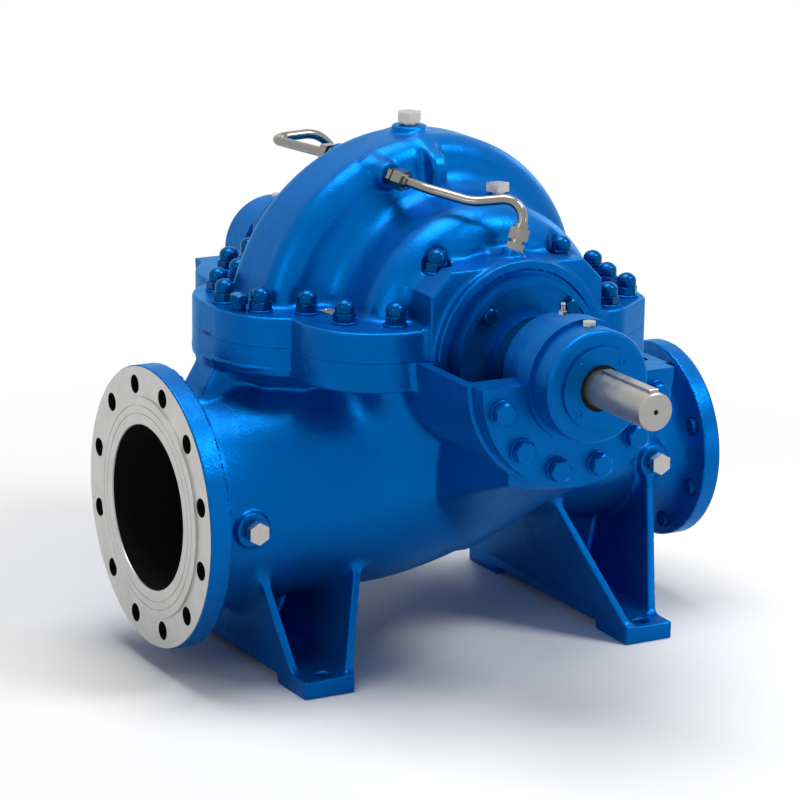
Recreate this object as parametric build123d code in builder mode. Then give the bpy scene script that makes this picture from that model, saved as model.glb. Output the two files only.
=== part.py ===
from build123d import *
from math import cos, radians, sin
import os

os.makedirs("parts", exist_ok=True)

# Double-suction, horizontally split centrifugal pump, in millimetres.
# X runs from the suction flange to the discharge flange, Y runs along the shaft
# from the drive end to the far end, and Z is up. The feet stand on z = 0.

# Main places
shaft_height = 402
nozzle_height = 198
suction_face_x = -368
discharge_face_x = 367

# Suction flange, DN200 PN16
suction_od = 340
suction_bore = 200
suction_flange_t = 30
suction_pcd = 295
suction_holes = 12
suction_hole_d = 23
suction_raised_d = 266

# Discharge flange, DN125 PN16
discharge_od = 250
discharge_bore = 125
discharge_flange_t = 26
discharge_pcd = 210
discharge_holes = 8
discharge_hole_d = 19
discharge_raised_d = 184
raised_face_t = 3

# Suction passage behind the flange and discharge passage
suction_depth = 210
discharge_depth = 150

# Horizontal joint of the two casing halves
joint_flange_t = 35
gasket_t = 1
notch_r = 10
suction_side_nuts = [(266, 0), (247, 57), (203, 90)]
suction_side_margin = 28.5
suction_lobe_nuts = [(203, 90), (186, 152), (139, 189)]
suction_lobe_margin = 34
discharge_nuts = [(212, 53), (184, 175), (138, 207)]
discharge_margin = 23

# Barrel of the lower casing: distance along X, height of its middle as a share of the
# rise from the nozzles to the shaft, half width, half height
barrel_stations = [
    (-338, 0, 128, 128),
    (-290, 0.01, 131, 134),
    (-190, 0.115, 148, 146),
    (-75, 0.2, 174, 160),
    (20, 0.265, 180, 148),
    (100, 0.32, 160, 126),
    (190, 0.105, 116, 98),
    (270, 0, 86, 86),
    (341, 0, 80, 80),
]
saddle_drop = 75
saddle_taper = 38
saddle_inset = 6
saddle_discharge_corners = [(212, 53), (199, 90)]

# Feet
foot_inner_x = 189
foot_outer_x = 255
foot_half_length = 194
foot_plate_t = 22
foot_hole_x = 222
foot_hole_y = 174
foot_hole_d = 19
foot_pad_length = 72
foot_relief = 10
web_t = 11
inner_web_top_x = 122
outer_web_top_x = 286
web_top_drop = 8
web_overlap = 1
inner_web_front = 190
outer_web_front = 158
web_top_front = 96
foot_rib_t = 14

# Drain bosses beside the nozzle necks
suction_drain_x = 295
discharge_drain_x = 286
drain_boss_d = 40
suction_drain_end = 138
discharge_drain_end = 96

# Upper casing, heights measured up from the shaft
volute_start_r = 203
volute_end_r = 242
volute_start_half = 42
volute_end_half = 64
volute_shoulder_r = 30
volute_core_r = 40
volute_steps = 6
dome_r = 160
dome_end = 137
dome_nose = 46
vent_x = -20
vent_boss_d = 45
vent_rise = 230
rib_t = 20
rib_front = 80
rib_front_rise = 203
rib_slope = 0.345
rib_corner_r = 15
prime_x = 34
prime_y = 120
prime_boss_d = 32
prime_rise = 164

# Seal block, its cover and the wedge under the seal fitting
block_half_width = 115
block_rise = 103
block_chamfer = 27
block_end = 230
block_nut_x = 84
block_nut_y = 186
block_nut_rise = 93
block_nut_pocket_r = 17
wedge_left = -25
wedge_right = 32
wedge_back = 160
wedge_front = 214
wedge_back_rise = 130
wedge_front_rise = 104
ring_r = 111
ring_end = 242
ring_bore_r = 99
ring_bore_depth = 30
cover_r = 93
cover_end = 259
cover_lip_t = 8
cover_neck_r = 50
cover_neck_end = 268
cover_step = 4
cover_dish = 3
seat_gap = 0.05

# Bearing bracket: half trough between the seal block and the bearing housing
trough_r = 132
trough_t = 12
bracket_end = 348
bracket_plate_t = 18
keel_half_width = 75
keel_top_drop = 100
# Keel under the trough: distance along Y, drop of its side edges and of its belly below the shaft
keel_stations = [(110, 202, 276), (178, 181, 237), (260, 153, 182), (346, 123, 134)]
run_in = 100

# Bearing housing and cover
housing_r = 66
housing_back = 307
housing_front = 411
housing_flange_r = 127
housing_flange_t = 22
housing_hub_r = 71
housing_hub_step = 5
housing_step = 2
housing_edge_r = 5
bearing_cover_r = 48
bearing_cover_end = 415
end_cover_t = 6
oil_seal_r = 27
oil_seal_t = 2
grease_y = -329
level_y = -386
small_thread_r = 4

# Shaft line
shaft_r = 21.5
shaft_tip = 528
shaft_chamfer = 1.5
shaft_far_end = 395
journal_r = 25
sleeve_r = 32
sleeve_start = 150
sleeve_end = 274
sleeve_nut_r = 36
sleeve_nut_t = 12
thrower_start = 291
thrower_r = 44
thrower_t = 8
key_width = 12
key_height = 8
key_proud = 3
key_start = 424
key_length = 98
key_chamfer = 0.5
centre_hole_d = 6
centre_hole_depth = 12
running_gap = 0.1
shaft_gap = 2

# Plugs, fittings and flush pipes
thread_depth = 12
plug_af = 27
plug_head_t = 11
plug_neck_t = 5
plug_neck_r = 9
plug_thread_r = 8
drain_plug_af = 24
drain_head_t = 10
drain_neck_t = 6
prime_plug_af = 27
prime_head_t = 8
prime_neck_t = 4
flush_boss_d = 34
flush_boss_length = 40
fitting_boss_r = 13
fitting_thread_r = 6
fitting_hex_af = 20
fitting_hex_t = 8
fitting_neck_r = 8
fitting_neck_t = 4
fitting_nut_af = 23
fitting_nut_t = 14
fitting_tail_r = 8.5
fitting_tail_t = 5
pipe_d = 12
pipe_seat = 14

# Route of each flush pipe from the volute to the seal block: x, y, rise over the shaft
flush_routes = {
    "drive": [(-82, -66, 185), (-62, -124, 178), (-30, -172, 169), (23, -213, 178), (3, -213, 118)],
    "far": [(-82, 66, 185), (-100, 213, 182), (-19, 213, 185), (3, 213, 118)],
}
flush_radii = {"drive": [80, 50, 22], "far": [22, 42]}

# Small fittings on the bearing housings
nipple_af = 9
nipple_hex_t = 4
nipple_neck_r = 2.5
nipple_head_r = 3.3
nipple_top = 14
level_af = 14
level_head_t = 5
level_sink = 1
level_spot_r = 9

# Bare plate on the joint flange
plate_x = -173
plate_y = -112
plate_length = 54
plate_width = 18
plate_t = 1.5
plate_corner_r = 3
plate_direction = (-0.2, 0.98, 0)
gasket_setback = 2
gasket_gap = 10
gasket_land = 60

top_z = shaft_height + gasket_t
web_top_z = nozzle_height - web_top_drop
beyond = 500


def station_plane(x, z):
    """Upright plane across the X axis, its own x along Y."""
    return Plane(origin=(x, 0, z), x_dir=(0, 1, 0), z_dir=(1, 0, 0))


def shaft_plane(y):
    """Upright plane across the shaft, looking towards the drive end."""
    return Plane(origin=(0, -y, shaft_height), x_dir=(1, 0, 0), z_dir=(0, -1, 0))


def nut_hull(side, nuts):
    """Closed outline from the middle plane out to one side's nuts and their mirror images."""
    outer = [(side * x, -y) for x, y in reversed(nuts) if y] + [(side * x, y) for x, y in nuts]
    Polyline([(0, -nuts[-1][1])] + outer + [(0, nuts[-1][1])], close=True)


def joint_outline(setback):
    """Plan of the joint flange: a margin round each group of nuts, with hollows where groups meet."""
    with BuildSketch() as plan:
        for side, nuts, margin in (
            (-1, suction_side_nuts, suction_side_margin),
            (-1, suction_lobe_nuts, suction_lobe_margin),
            (1, discharge_nuts, discharge_margin),
        ):
            with BuildSketch(mode=Mode.PRIVATE) as group_plan:
                with BuildLine():
                    nut_hull(side, nuts)
                make_face()
                offset(amount=margin, kind=Kind.ARC)
            add(group_plan.sketch)
        offset(amount=notch_r, kind=Kind.ARC)
        offset(amount=-notch_r - setback, kind=Kind.ARC)
    return plan.sketch


def flush_points(end):
    """Route of a flush pipe as points."""
    return [Vector(x, y, shaft_height + rise) for x, y, rise in flush_routes[end]]


def flush_seat(end, place):
    """Seat of a flush pipe's fitting on the casting, its normal along the pipe."""
    points = flush_points(end)
    if place == "seal":
        points.reverse()
    return Plane(origin=points[0], z_dir=(points[1] - points[0]).normalized())


# Lower casing: barrel, nozzles, feet and bearing brackets in one casting
with BuildPart() as lower_casing:
    for x, rise, half_width, half_height in barrel_stations:
        with BuildSketch(station_plane(x, nozzle_height + rise * (shaft_height - nozzle_height))):
            Ellipse(half_width, half_height)
    loft()
    # Saddle that carries the joint flange over the nozzle necks
    for side, corners, margin in (
        (-1, suction_side_nuts, suction_side_margin),
        (1, saddle_discharge_corners, discharge_margin),
    ):
        with BuildSketch(Plane.XY.offset(shaft_height - joint_flange_t)):
            with BuildLine():
                nut_hull(side, corners)
            make_face()
            offset(amount=margin - saddle_inset, kind=Kind.ARC)
        extrude(amount=-saddle_drop, taper=saddle_taper)
    # Joint flange
    with BuildSketch(Plane.XY.offset(shaft_height)):
        add(joint_outline(0))
        Rectangle(2 * block_half_width, 2 * block_end)
    extrude(amount=-joint_flange_t)
    for side in (1, -1):
        # Ring that takes the seal cover
        with BuildSketch(shaft_plane(side * run_in)):
            Circle(ring_r)
        extrude(amount=side * (ring_end - run_in))
        # Trough of the bearing bracket, with a bellied keel under it
        with BuildSketch(shaft_plane(side * run_in)):
            Circle(trough_r)
        extrude(amount=side * (bracket_end - run_in))
        for y, side_drop, belly_drop in keel_stations:
            with BuildSketch(shaft_plane(side * y)):
                with BuildLine():
                    Polyline(
                        (keel_half_width, -side_drop),
                        (keel_half_width, -keel_top_drop),
                        (-keel_half_width, -keel_top_drop),
                        (-keel_half_width, -side_drop),
                    )
                    ThreePointArc(
                        (-keel_half_width, -side_drop), (0, -belly_drop), (keel_half_width, -side_drop)
                    )
                make_face()
        loft()
        with BuildSketch(shaft_plane(side * ring_end)):
            Circle(trough_r - trough_t)
        extrude(amount=side * (bracket_end - bracket_plate_t - ring_end), mode=Mode.SUBTRACT)
        with BuildSketch(shaft_plane(side * ring_end)):
            Circle(housing_r)
        extrude(amount=side * (bracket_end - ring_end), mode=Mode.SUBTRACT)
        with BuildSketch(shaft_plane(side * (ring_end - ring_bore_depth))):
            Circle(ring_bore_r)
        extrude(amount=side * ring_bore_depth, mode=Mode.SUBTRACT)
    # Everything above the joint goes
    with BuildSketch(Plane.XY.offset(shaft_height)):
        Rectangle(2 * beyond, 2 * beyond)
    extrude(amount=beyond, mode=Mode.SUBTRACT)
    # Feet
    for side in (1, -1):
        with BuildSketch(Plane.XY):
            with Locations((side * (foot_inner_x + foot_outer_x) / 2, 0)):
                Rectangle(foot_outer_x - foot_inner_x, 2 * foot_half_length)
        extrude(amount=foot_plate_t)
        for bottom_x, top_x, front, inward in (
            (foot_inner_x, inner_web_top_x, inner_web_front, 1),
            (foot_outer_x, outer_web_top_x, outer_web_front, -1),
        ):
            with BuildSketch(Plane.XZ.offset(-foot_half_length)):
                with BuildLine():
                    Polyline(
                        (side * bottom_x, foot_plate_t),
                        (side * top_x, web_top_z),
                        (side * (top_x + inward * web_t), web_top_z),
                        (side * (bottom_x + inward * web_t), foot_plate_t),
                        close=True,
                    )
                make_face()
            web = extrude(amount=2 * foot_half_length, mode=Mode.PRIVATE)
            with BuildSketch(Plane.YZ.offset(-beyond)):
                with BuildLine():
                    Polyline(
                        (-front, foot_plate_t - web_overlap),
                        (-web_top_front, web_top_z + web_overlap),
                        (web_top_front, web_top_z + web_overlap),
                        (front, foot_plate_t - web_overlap),
                        close=True,
                    )
                make_face()
            side_shape = extrude(amount=2 * beyond, mode=Mode.PRIVATE)
            add(web & side_shape)
        with BuildSketch(Plane.XZ.offset(-foot_rib_t / 2)):
            with BuildLine():
                Polyline(
                    (side * foot_inner_x, foot_plate_t),
                    (side * inner_web_top_x, web_top_z),
                    (side * outer_web_top_x, web_top_z),
                    (side * foot_outer_x, foot_plate_t),
                    close=True,
                )
            make_face()
        extrude(amount=foot_rib_t)
        with BuildSketch(Plane.XY):
            with Locations((side * (foot_inner_x + foot_outer_x) / 2, 0)):
                Rectangle(2 * (foot_outer_x - foot_inner_x), 2 * (foot_half_length - foot_pad_length))
        extrude(amount=foot_relief, mode=Mode.SUBTRACT)
        with BuildSketch(Plane.XY):
            with Locations((side * foot_hole_x, -foot_hole_y), (side * foot_hole_x, foot_hole_y)):
                Circle(foot_hole_d / 2)
        extrude(amount=foot_plate_t, mode=Mode.SUBTRACT)
        # Drain bosses
        boss_end = discharge_drain_end if side > 0 else suction_drain_end
        drain_x = discharge_drain_x if side > 0 else -suction_drain_x
        with BuildSketch(Plane(origin=(drain_x, -boss_end, nozzle_height), z_dir=(0, 1, 0))):
            Circle(drain_boss_d / 2)
        extrude(amount=2 * boss_end)
        for seat_y in (-boss_end, boss_end - thread_depth):
            with BuildSketch(Plane(origin=(drain_x, seat_y, nozzle_height), z_dir=(0, 1, 0))):
                Circle(plug_thread_r)
            extrude(amount=thread_depth, mode=Mode.SUBTRACT)
    # Nozzle flanges
    with BuildSketch(station_plane(suction_face_x + raised_face_t, nozzle_height)):
        Circle(suction_od / 2)
    extrude(amount=suction_flange_t - raised_face_t)
    with BuildSketch(station_plane(suction_face_x, nozzle_height)):
        Circle(suction_raised_d / 2)
    extrude(amount=suction_flange_t)
    with BuildSketch(station_plane(discharge_face_x - discharge_flange_t, nozzle_height)):
        Circle(discharge_od / 2)
    extrude(amount=discharge_flange_t - raised_face_t)
    with BuildSketch(station_plane(discharge_face_x - discharge_flange_t, nozzle_height)):
        Circle(discharge_raised_d / 2)
    extrude(amount=discharge_flange_t)
    with BuildSketch(station_plane(suction_face_x, nozzle_height)):
        with PolarLocations(suction_pcd / 2, suction_holes, 180 / suction_holes):
            Circle(suction_hole_d / 2)
    extrude(amount=suction_flange_t, mode=Mode.SUBTRACT)
    with BuildSketch(station_plane(discharge_face_x - discharge_flange_t, nozzle_height)):
        with PolarLocations(discharge_pcd / 2, discharge_holes, 180 / discharge_holes):
            Circle(discharge_hole_d / 2)
    extrude(amount=discharge_flange_t, mode=Mode.SUBTRACT)
    with BuildSketch(station_plane(suction_face_x, nozzle_height)):
        Circle(suction_bore / 2)
    extrude(amount=suction_depth, mode=Mode.SUBTRACT)
    with BuildSketch(station_plane(discharge_face_x - discharge_depth, nozzle_height)):
        Circle(discharge_bore / 2)
    extrude(amount=discharge_depth, mode=Mode.SUBTRACT)
    # Shaft tunnel
    with BuildSketch(shaft_plane(-ring_end)):
        Circle(sleeve_r + shaft_gap)
    extrude(amount=2 * ring_end, mode=Mode.SUBTRACT)
lower_casing.part.label = "lower_casing"
export_step(lower_casing.part, "parts/lower_casing.step")


# Upper casing: volute, suction domes, seal blocks and joint flange
with BuildPart() as upper_casing:
    for step in range(volute_steps + 1):
        share = step / volute_steps
        outer_r = volute_start_r + (volute_end_r - volute_start_r) * share
        half = volute_start_half + (volute_end_half - volute_start_half) * share
        outward = (cos(radians(180 * share)), 0, sin(radians(180 * share)))
        section = Plane(origin=(0, 0, shaft_height), x_dir=outward, z_dir=(-outward[2], 0, outward[0]))
        shoulder = volute_shoulder_r * (1 - sin(radians(45)))
        with BuildSketch(section):
            with BuildLine():
                Polyline(
                    (outer_r - volute_shoulder_r, -half),
                    (volute_core_r, -half),
                    (volute_core_r, half),
                    (outer_r - volute_shoulder_r, half),
                )
                ThreePointArc(
                    (outer_r - volute_shoulder_r, half),
                    (outer_r - shoulder, half - shoulder),
                    (outer_r, half - volute_shoulder_r),
                )
                Line((outer_r, half - volute_shoulder_r), (outer_r, volute_shoulder_r - half))
                ThreePointArc(
                    (outer_r, volute_shoulder_r - half),
                    (outer_r - shoulder, shoulder - half),
                    (outer_r - volute_shoulder_r, -half),
                )
            make_face()
    loft()
    # Suction domes and seal blocks on both sides of the volute
    nose = dome_nose * sin(radians(45))
    for side in (1, -1):
        with BuildSketch(Plane.YZ):
            with BuildLine():
                Polyline(
                    (-side * dome_end, shaft_height + dome_r),
                    (0, shaft_height + dome_r),
                    (0, shaft_height),
                    (-side * (dome_end + dome_nose), shaft_height),
                    (-side * (dome_end + dome_nose), shaft_height + dome_r - dome_nose),
                )
                ThreePointArc(
                    (-side * (dome_end + dome_nose), shaft_height + dome_r - dome_nose),
                    (-side * (dome_end + nose), shaft_height + dome_r - dome_nose + nose),
                    (-side * dome_end, shaft_height + dome_r),
                )
            make_face()
        revolve(axis=Axis((0, 0, shaft_height), (0, 1, 0)))
        with BuildSketch(shaft_plane(side * run_in)):
            with BuildLine():
                Polyline(
                    (-block_half_width, 0),
                    (-block_half_width, block_rise - block_chamfer),
                    (block_chamfer - block_half_width, block_rise),
                    (block_half_width - block_chamfer, block_rise),
                    (block_half_width, block_rise - block_chamfer),
                    (block_half_width, 0),
                    close=True,
                )
            make_face()
        extrude(amount=side * (block_end - run_in))
        with BuildSketch(shaft_plane(side * run_in)):
            Circle(ring_r)
        extrude(amount=side * (ring_end - run_in))
        # Wedge on the block under the seal fitting
        with BuildSketch(Plane.YZ.offset(wedge_left)):
            with BuildLine():
                Polyline(
                    (-side * wedge_back, shaft_height),
                    (-side * wedge_back, shaft_height + wedge_back_rise),
                    (-side * wedge_front, shaft_height + wedge_front_rise),
                    (-side * wedge_front, shaft_height),
                    close=True,
                )
            make_face()
        extrude(amount=wedge_right - wedge_left)
    # Bosses for the two ends of each flush pipe
    for end in ("drive", "far"):
        with BuildSketch(flush_seat(end, "volute")):
            Circle(flush_boss_d / 2)
        extrude(amount=-flush_boss_length)
        with BuildSketch(flush_seat(end, "seal")):
            Circle(fitting_boss_r)
        extrude(amount=-thread_depth - fitting_boss_r)
    # Rib across the volute, its top sloping down from the vent boss
    rib_crest = rib_front_rise + rib_slope * (rib_front - vent_boss_d / 2)
    with BuildSketch(Plane.YZ.offset(vent_x - rib_t / 2)):
        with BuildLine():
            FilletPolyline(
                (-rib_front, shaft_height),
                (-rib_front, shaft_height + rib_front_rise),
                (-vent_boss_d / 2, shaft_height + rib_crest),
                (vent_boss_d / 2, shaft_height + rib_crest),
                (rib_front, shaft_height + rib_front_rise),
                (rib_front, shaft_height),
                radius=rib_corner_r,
                close=True,
            )
        make_face()
    extrude(amount=rib_t)
    with BuildSketch(Plane((vent_x, 0, shaft_height))):
        Circle(vent_boss_d / 2)
    extrude(amount=vent_rise)
    # Pads for the priming plugs
    with BuildSketch(Plane.XY.offset(shaft_height)):
        with Locations((prime_x, -prime_y), (prime_x, prime_y)):
            Circle(prime_boss_d / 2)
    extrude(amount=prime_rise)
    # Joint flange
    with BuildSketch(Plane.XY.offset(top_z)):
        add(joint_outline(0))
        Rectangle(2 * block_half_width, 2 * block_end)
    extrude(amount=joint_flange_t)
    # Everything below the gasket goes
    with BuildSketch(Plane.XY.offset(top_z)):
        Rectangle(2 * beyond, 2 * beyond)
    extrude(amount=-beyond, mode=Mode.SUBTRACT)
    # Pockets for the nuts on the seal blocks
    with BuildSketch(Plane.XY.offset(shaft_height + block_nut_rise)):
        with Locations([(x, y) for x in (-block_nut_x, block_nut_x) for y in (-block_nut_y, block_nut_y)]):
            Circle(block_nut_pocket_r)
    extrude(amount=block_nut_rise, mode=Mode.SUBTRACT)
    # Shaft tunnel and the recesses for the seal covers
    with BuildSketch(shaft_plane(-ring_end)):
        Circle(sleeve_r + shaft_gap)
    extrude(amount=2 * ring_end, mode=Mode.SUBTRACT)
    for side in (1, -1):
        with BuildSketch(shaft_plane(side * (ring_end - ring_bore_depth))):
            Circle(ring_bore_r)
        extrude(amount=side * ring_bore_depth, mode=Mode.SUBTRACT)
        with BuildSketch(Plane((prime_x, -side * prime_y, shaft_height + prime_rise))):
            Circle(plug_thread_r)
        extrude(amount=-thread_depth, mode=Mode.SUBTRACT)
    # Threaded holes for the fittings and the vent plug
    for end in ("drive", "far"):
        for place in ("volute", "seal"):
            with BuildSketch(flush_seat(end, place)):
                Circle(fitting_thread_r)
            extrude(amount=-thread_depth, mode=Mode.SUBTRACT)
    with BuildSketch(Plane((vent_x, 0, shaft_height + vent_rise))):
        Circle(plug_thread_r)
    extrude(amount=-thread_depth, mode=Mode.SUBTRACT)
upper_casing.part.label = "upper_casing"
export_step(upper_casing.part, "parts/upper_casing.step")


# Gasket between the halves, trimmed back from the painted edge
gasket_end = ring_end - ring_bore_depth
gasket_cut_y = gasket_end - gasket_setback + suction_lobe_margin
with BuildPart() as casing_gasket:
    with BuildSketch(Plane.XY.offset(shaft_height)):
        add(joint_outline(gasket_setback))
        Rectangle(2 * (block_half_width - gasket_setback), 2 * gasket_end)
        Rectangle(2 * (sleeve_r + shaft_gap + gasket_gap), 2 * ring_end, mode=Mode.SUBTRACT)
        Rectangle(2 * (volute_end_r - gasket_land), 2 * (volute_end_half - gasket_gap), mode=Mode.SUBTRACT)
        with Locations((0, gasket_cut_y), (0, -gasket_cut_y)):
            Rectangle(2 * (ring_bore_r + gasket_setback), 2 * suction_lobe_margin, mode=Mode.SUBTRACT)
    extrude(amount=gasket_t)
casing_gasket.part.label = "casing_gasket"
export_step(casing_gasket.part, "parts/casing_gasket.step")


def save_pair(piece, name):
    """Write a drive-end piece and its mirror image at the far end."""
    piece.part.label = name + "_drive"
    export_step(piece.part, "parts/" + name + "_drive.step")
    with BuildPart() as twin:
        add(piece.part)
        mirror(about=Plane.XZ, mode=Mode.REPLACE)
    twin.part.label = name + "_far"
    export_step(twin.part, "parts/" + name + "_far.step")


# Seal covers, each seated in the round recess of both halves
with BuildPart() as seal_cover:
    with BuildSketch(Plane.YZ):
        with BuildLine():
            Polyline(
                (-(ring_end - ring_bore_depth), shaft_height + sleeve_r + shaft_gap),
                (-(ring_end - ring_bore_depth), shaft_height + ring_bore_r - seat_gap),
                (-(ring_end - cover_step), shaft_height + ring_bore_r - seat_gap),
                (-(ring_end - cover_step), shaft_height + cover_r),
                (-cover_end, shaft_height + cover_r),
                (-cover_end, shaft_height + cover_r - cover_lip_t),
                (-(cover_end - cover_dish), shaft_height + cover_r - cover_lip_t),
                (-(cover_end - cover_dish), shaft_height + cover_neck_r),
                (-cover_neck_end, shaft_height + cover_neck_r),
                (-cover_neck_end, shaft_height + sleeve_r + shaft_gap),
                close=True,
            )
        make_face()
    revolve(axis=Axis((0, 0, shaft_height), (0, 1, 0)))
save_pair(seal_cover, "seal_cover")


# Bearing housings with their half flanges
with BuildPart() as bearing_housing:
    with BuildSketch(shaft_plane(bracket_end)):
        Circle(housing_flange_r)
        with Locations((0, housing_flange_r)):
            Rectangle(2 * housing_flange_r, 2 * housing_flange_r, mode=Mode.SUBTRACT)
    extrude(amount=housing_flange_t)
    with BuildSketch(shaft_plane(bracket_end)):
        Circle(housing_hub_r)
    extrude(amount=housing_flange_t + housing_hub_step)
    with BuildSketch(shaft_plane(housing_back)):
        Circle(housing_r - housing_step)
    extrude(amount=housing_front - housing_back)
    with BuildSketch(shaft_plane(bracket_end - bracket_plate_t)):
        Circle(housing_r - seat_gap)
    extrude(amount=housing_front - bracket_end + bracket_plate_t)
    with BuildSketch(shaft_plane(housing_back)):
        Circle(journal_r + shaft_gap)
    extrude(amount=housing_front - housing_back, mode=Mode.SUBTRACT)
    fillet(bearing_housing.edges().filter_by(GeomType.CIRCLE).group_by(Axis.Y)[0], housing_edge_r)
    # Threaded holes on top for the grease nipple and the level plug
    with BuildSketch(Plane.XY.offset(shaft_height + housing_r)):
        with Locations((0, grease_y), (0, level_y)):
            Circle(small_thread_r)
    extrude(amount=-thread_depth, mode=Mode.SUBTRACT)
    with BuildSketch(Plane.XY.offset(shaft_height + housing_r - level_sink)):
        with Locations((0, level_y)):
            Circle(level_spot_r)
    extrude(amount=2 * level_sink, mode=Mode.SUBTRACT)
save_pair(bearing_housing, "bearing_housing")


# Bearing cover at the drive end, open for the shaft
with BuildPart() as bearing_cover_drive:
    with BuildSketch(shaft_plane(housing_front)):
        Circle(bearing_cover_r)
        Circle(oil_seal_r, mode=Mode.SUBTRACT)
    extrude(amount=bearing_cover_end - housing_front)
bearing_cover_drive.part.label = "bearing_cover_drive"
export_step(bearing_cover_drive.part, "parts/bearing_cover_drive.step")

with BuildPart() as oil_seal_drive:
    with BuildSketch(shaft_plane(housing_front)):
        Circle(oil_seal_r)
        Circle(shaft_r + running_gap, mode=Mode.SUBTRACT)
    extrude(amount=oil_seal_t)
oil_seal_drive.part.label = "oil_seal_drive"
export_step(oil_seal_drive.part, "parts/oil_seal_drive.step")

# Closed cover at the far end
with BuildPart() as end_cover_far:
    with BuildSketch(shaft_plane(-housing_front)):
        Circle(bearing_cover_r)
    extrude(amount=-end_cover_t)
    fillet(end_cover_far.edges().filter_by(GeomType.CIRCLE).sort_by(Axis.Y)[-1], end_cover_t / 2)
end_cover_far.part.label = "end_cover_far"
export_step(end_cover_far.part, "parts/end_cover_far.step")


# Shaft with a keyed end, centre hole and chamfer
with BuildPart() as shaft:
    with BuildSketch(Plane.YZ):
        with BuildLine():
            Polyline(
                (-shaft_tip, shaft_height),
                (-shaft_tip, shaft_height + shaft_r - shaft_chamfer),
                (shaft_chamfer - shaft_tip, shaft_height + shaft_r),
                (shaft_gap - housing_front, shaft_height + shaft_r),
                (shaft_gap - housing_front, shaft_height + journal_r),
                (shaft_far_end, shaft_height + journal_r),
                (shaft_far_end, shaft_height),
                close=True,
            )
        make_face()
    revolve(axis=Axis((0, 0, shaft_height), (0, 1, 0)))
    with BuildSketch(Plane.XY.offset(shaft_height + shaft_r + key_proud)):
        with Locations((0, -key_start - key_length / 2)):
            Rectangle(key_width, key_length)
    extrude(amount=-key_height, mode=Mode.SUBTRACT)
    with BuildSketch(shaft_plane(shaft_tip)):
        Circle(centre_hole_d / 2)
    extrude(amount=-centre_hole_depth, mode=Mode.SUBTRACT)
shaft.part.label = "shaft"
export_step(shaft.part, "parts/shaft.step")

with BuildPart() as shaft_key:
    with BuildSketch(Plane.XY.offset(shaft_height + shaft_r + key_proud)):
        with Locations((0, -key_start - key_length / 2)):
            Rectangle(key_width, key_length)
    extrude(amount=-key_height)
    chamfer(shaft_key.faces().sort_by(Axis.Z)[-1].edges(), key_chamfer)
shaft_key.part.label = "shaft_key"
export_step(shaft_key.part, "parts/shaft_key.step")


def shaft_ring(inner_r, outer_r, start, length, name, edge=0):
    """A ring on the shaft, made for both ends."""
    with BuildPart() as ring:
        with BuildSketch(shaft_plane(start)):
            Circle(outer_r)
            Circle(inner_r, mode=Mode.SUBTRACT)
        extrude(amount=length)
        if edge:
            chamfer(ring.edges().filter_by(GeomType.CIRCLE).sort_by(SortBy.RADIUS)[-2:], edge)
    save_pair(ring, name)


shaft_ring(journal_r, sleeve_r, sleeve_start, sleeve_end - sleeve_start, "shaft_sleeve", 1)
shaft_ring(journal_r, sleeve_nut_r, sleeve_end, sleeve_nut_t, "sleeve_nut", 2)
shaft_ring(journal_r, thrower_r, thrower_start, thrower_t, "thrower_ring", 2)


def hex_plug(name, seat, across_flats, head_t, neck_t, neck_r, thread_r):
    """A plug with a hexagon head, a short bare neck and its thread in the hole."""
    with BuildPart() as plug:
        with BuildSketch(seat):
            Circle(thread_r)
        extrude(amount=-thread_depth)
        with BuildSketch(seat):
            Circle(neck_r)
        extrude(amount=neck_t)
        with BuildSketch(seat.offset(neck_t)):
            RegularPolygon(across_flats / 2, 6, major_radius=False)
        extrude(amount=head_t)
    plug.part.label = name
    export_step(plug.part, "parts/" + name + ".step")


hex_plug(
    "vent_plug", Plane((vent_x, 0, shaft_height + vent_rise)),
    plug_af, plug_head_t, plug_neck_t, plug_neck_r, plug_thread_r,
)
for side, end in ((1, "drive"), (-1, "far")):
    hex_plug(
        "priming_plug_" + end, Plane((prime_x, -side * prime_y, shaft_height + prime_rise)),
        prime_plug_af, prime_head_t, prime_neck_t, plug_neck_r, plug_thread_r,
    )
    for drain_place, boss_end, nozzle in (
        (-suction_drain_x, suction_drain_end, "suction"),
        (discharge_drain_x, discharge_drain_end, "discharge"),
    ):
        seat = Plane(origin=(drain_place, -side * boss_end, nozzle_height), z_dir=(0, -side, 0))
        hex_plug(
            "drain_plug_" + nozzle + "_" + end, seat,
            drain_plug_af, drain_head_t, drain_neck_t, plug_neck_r, plug_thread_r,
        )


# Grease nipples and level plugs on the bearing housings
housing_top = shaft_height + housing_r
with BuildPart() as grease_nipple:
    with BuildSketch(Plane((0, grease_y, housing_top))):
        Circle(small_thread_r)
    extrude(amount=-thread_depth)
    with BuildSketch(Plane((0, grease_y, housing_top))):
        RegularPolygon(nipple_af / 2, 6, major_radius=False)
    extrude(amount=nipple_hex_t)
    with BuildSketch(Plane.XZ.offset(-grease_y)):
        with BuildLine():
            Polyline(
                (0, housing_top + nipple_hex_t),
                (nipple_neck_r, housing_top + nipple_hex_t),
                (nipple_neck_r, housing_top + nipple_top - nipple_head_r),
                (nipple_head_r, housing_top + nipple_top - nipple_head_r / 2),
                (nipple_neck_r, housing_top + nipple_top),
                (0, housing_top + nipple_top),
                close=True,
            )
        make_face()
    revolve(axis=Axis((0, grease_y, 0), (0, 0, 1)))
save_pair(grease_nipple, "grease_nipple")

with BuildPart() as level_plug:
    with BuildSketch(Plane((0, level_y, housing_top))):
        Circle(small_thread_r)
    extrude(amount=-thread_depth)
    with BuildSketch(Plane((0, level_y, housing_top - level_sink))):
        RegularPolygon(level_af / 2, 6, major_radius=False)
    extrude(amount=level_head_t + level_sink)
save_pair(level_plug, "level_plug")


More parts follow.
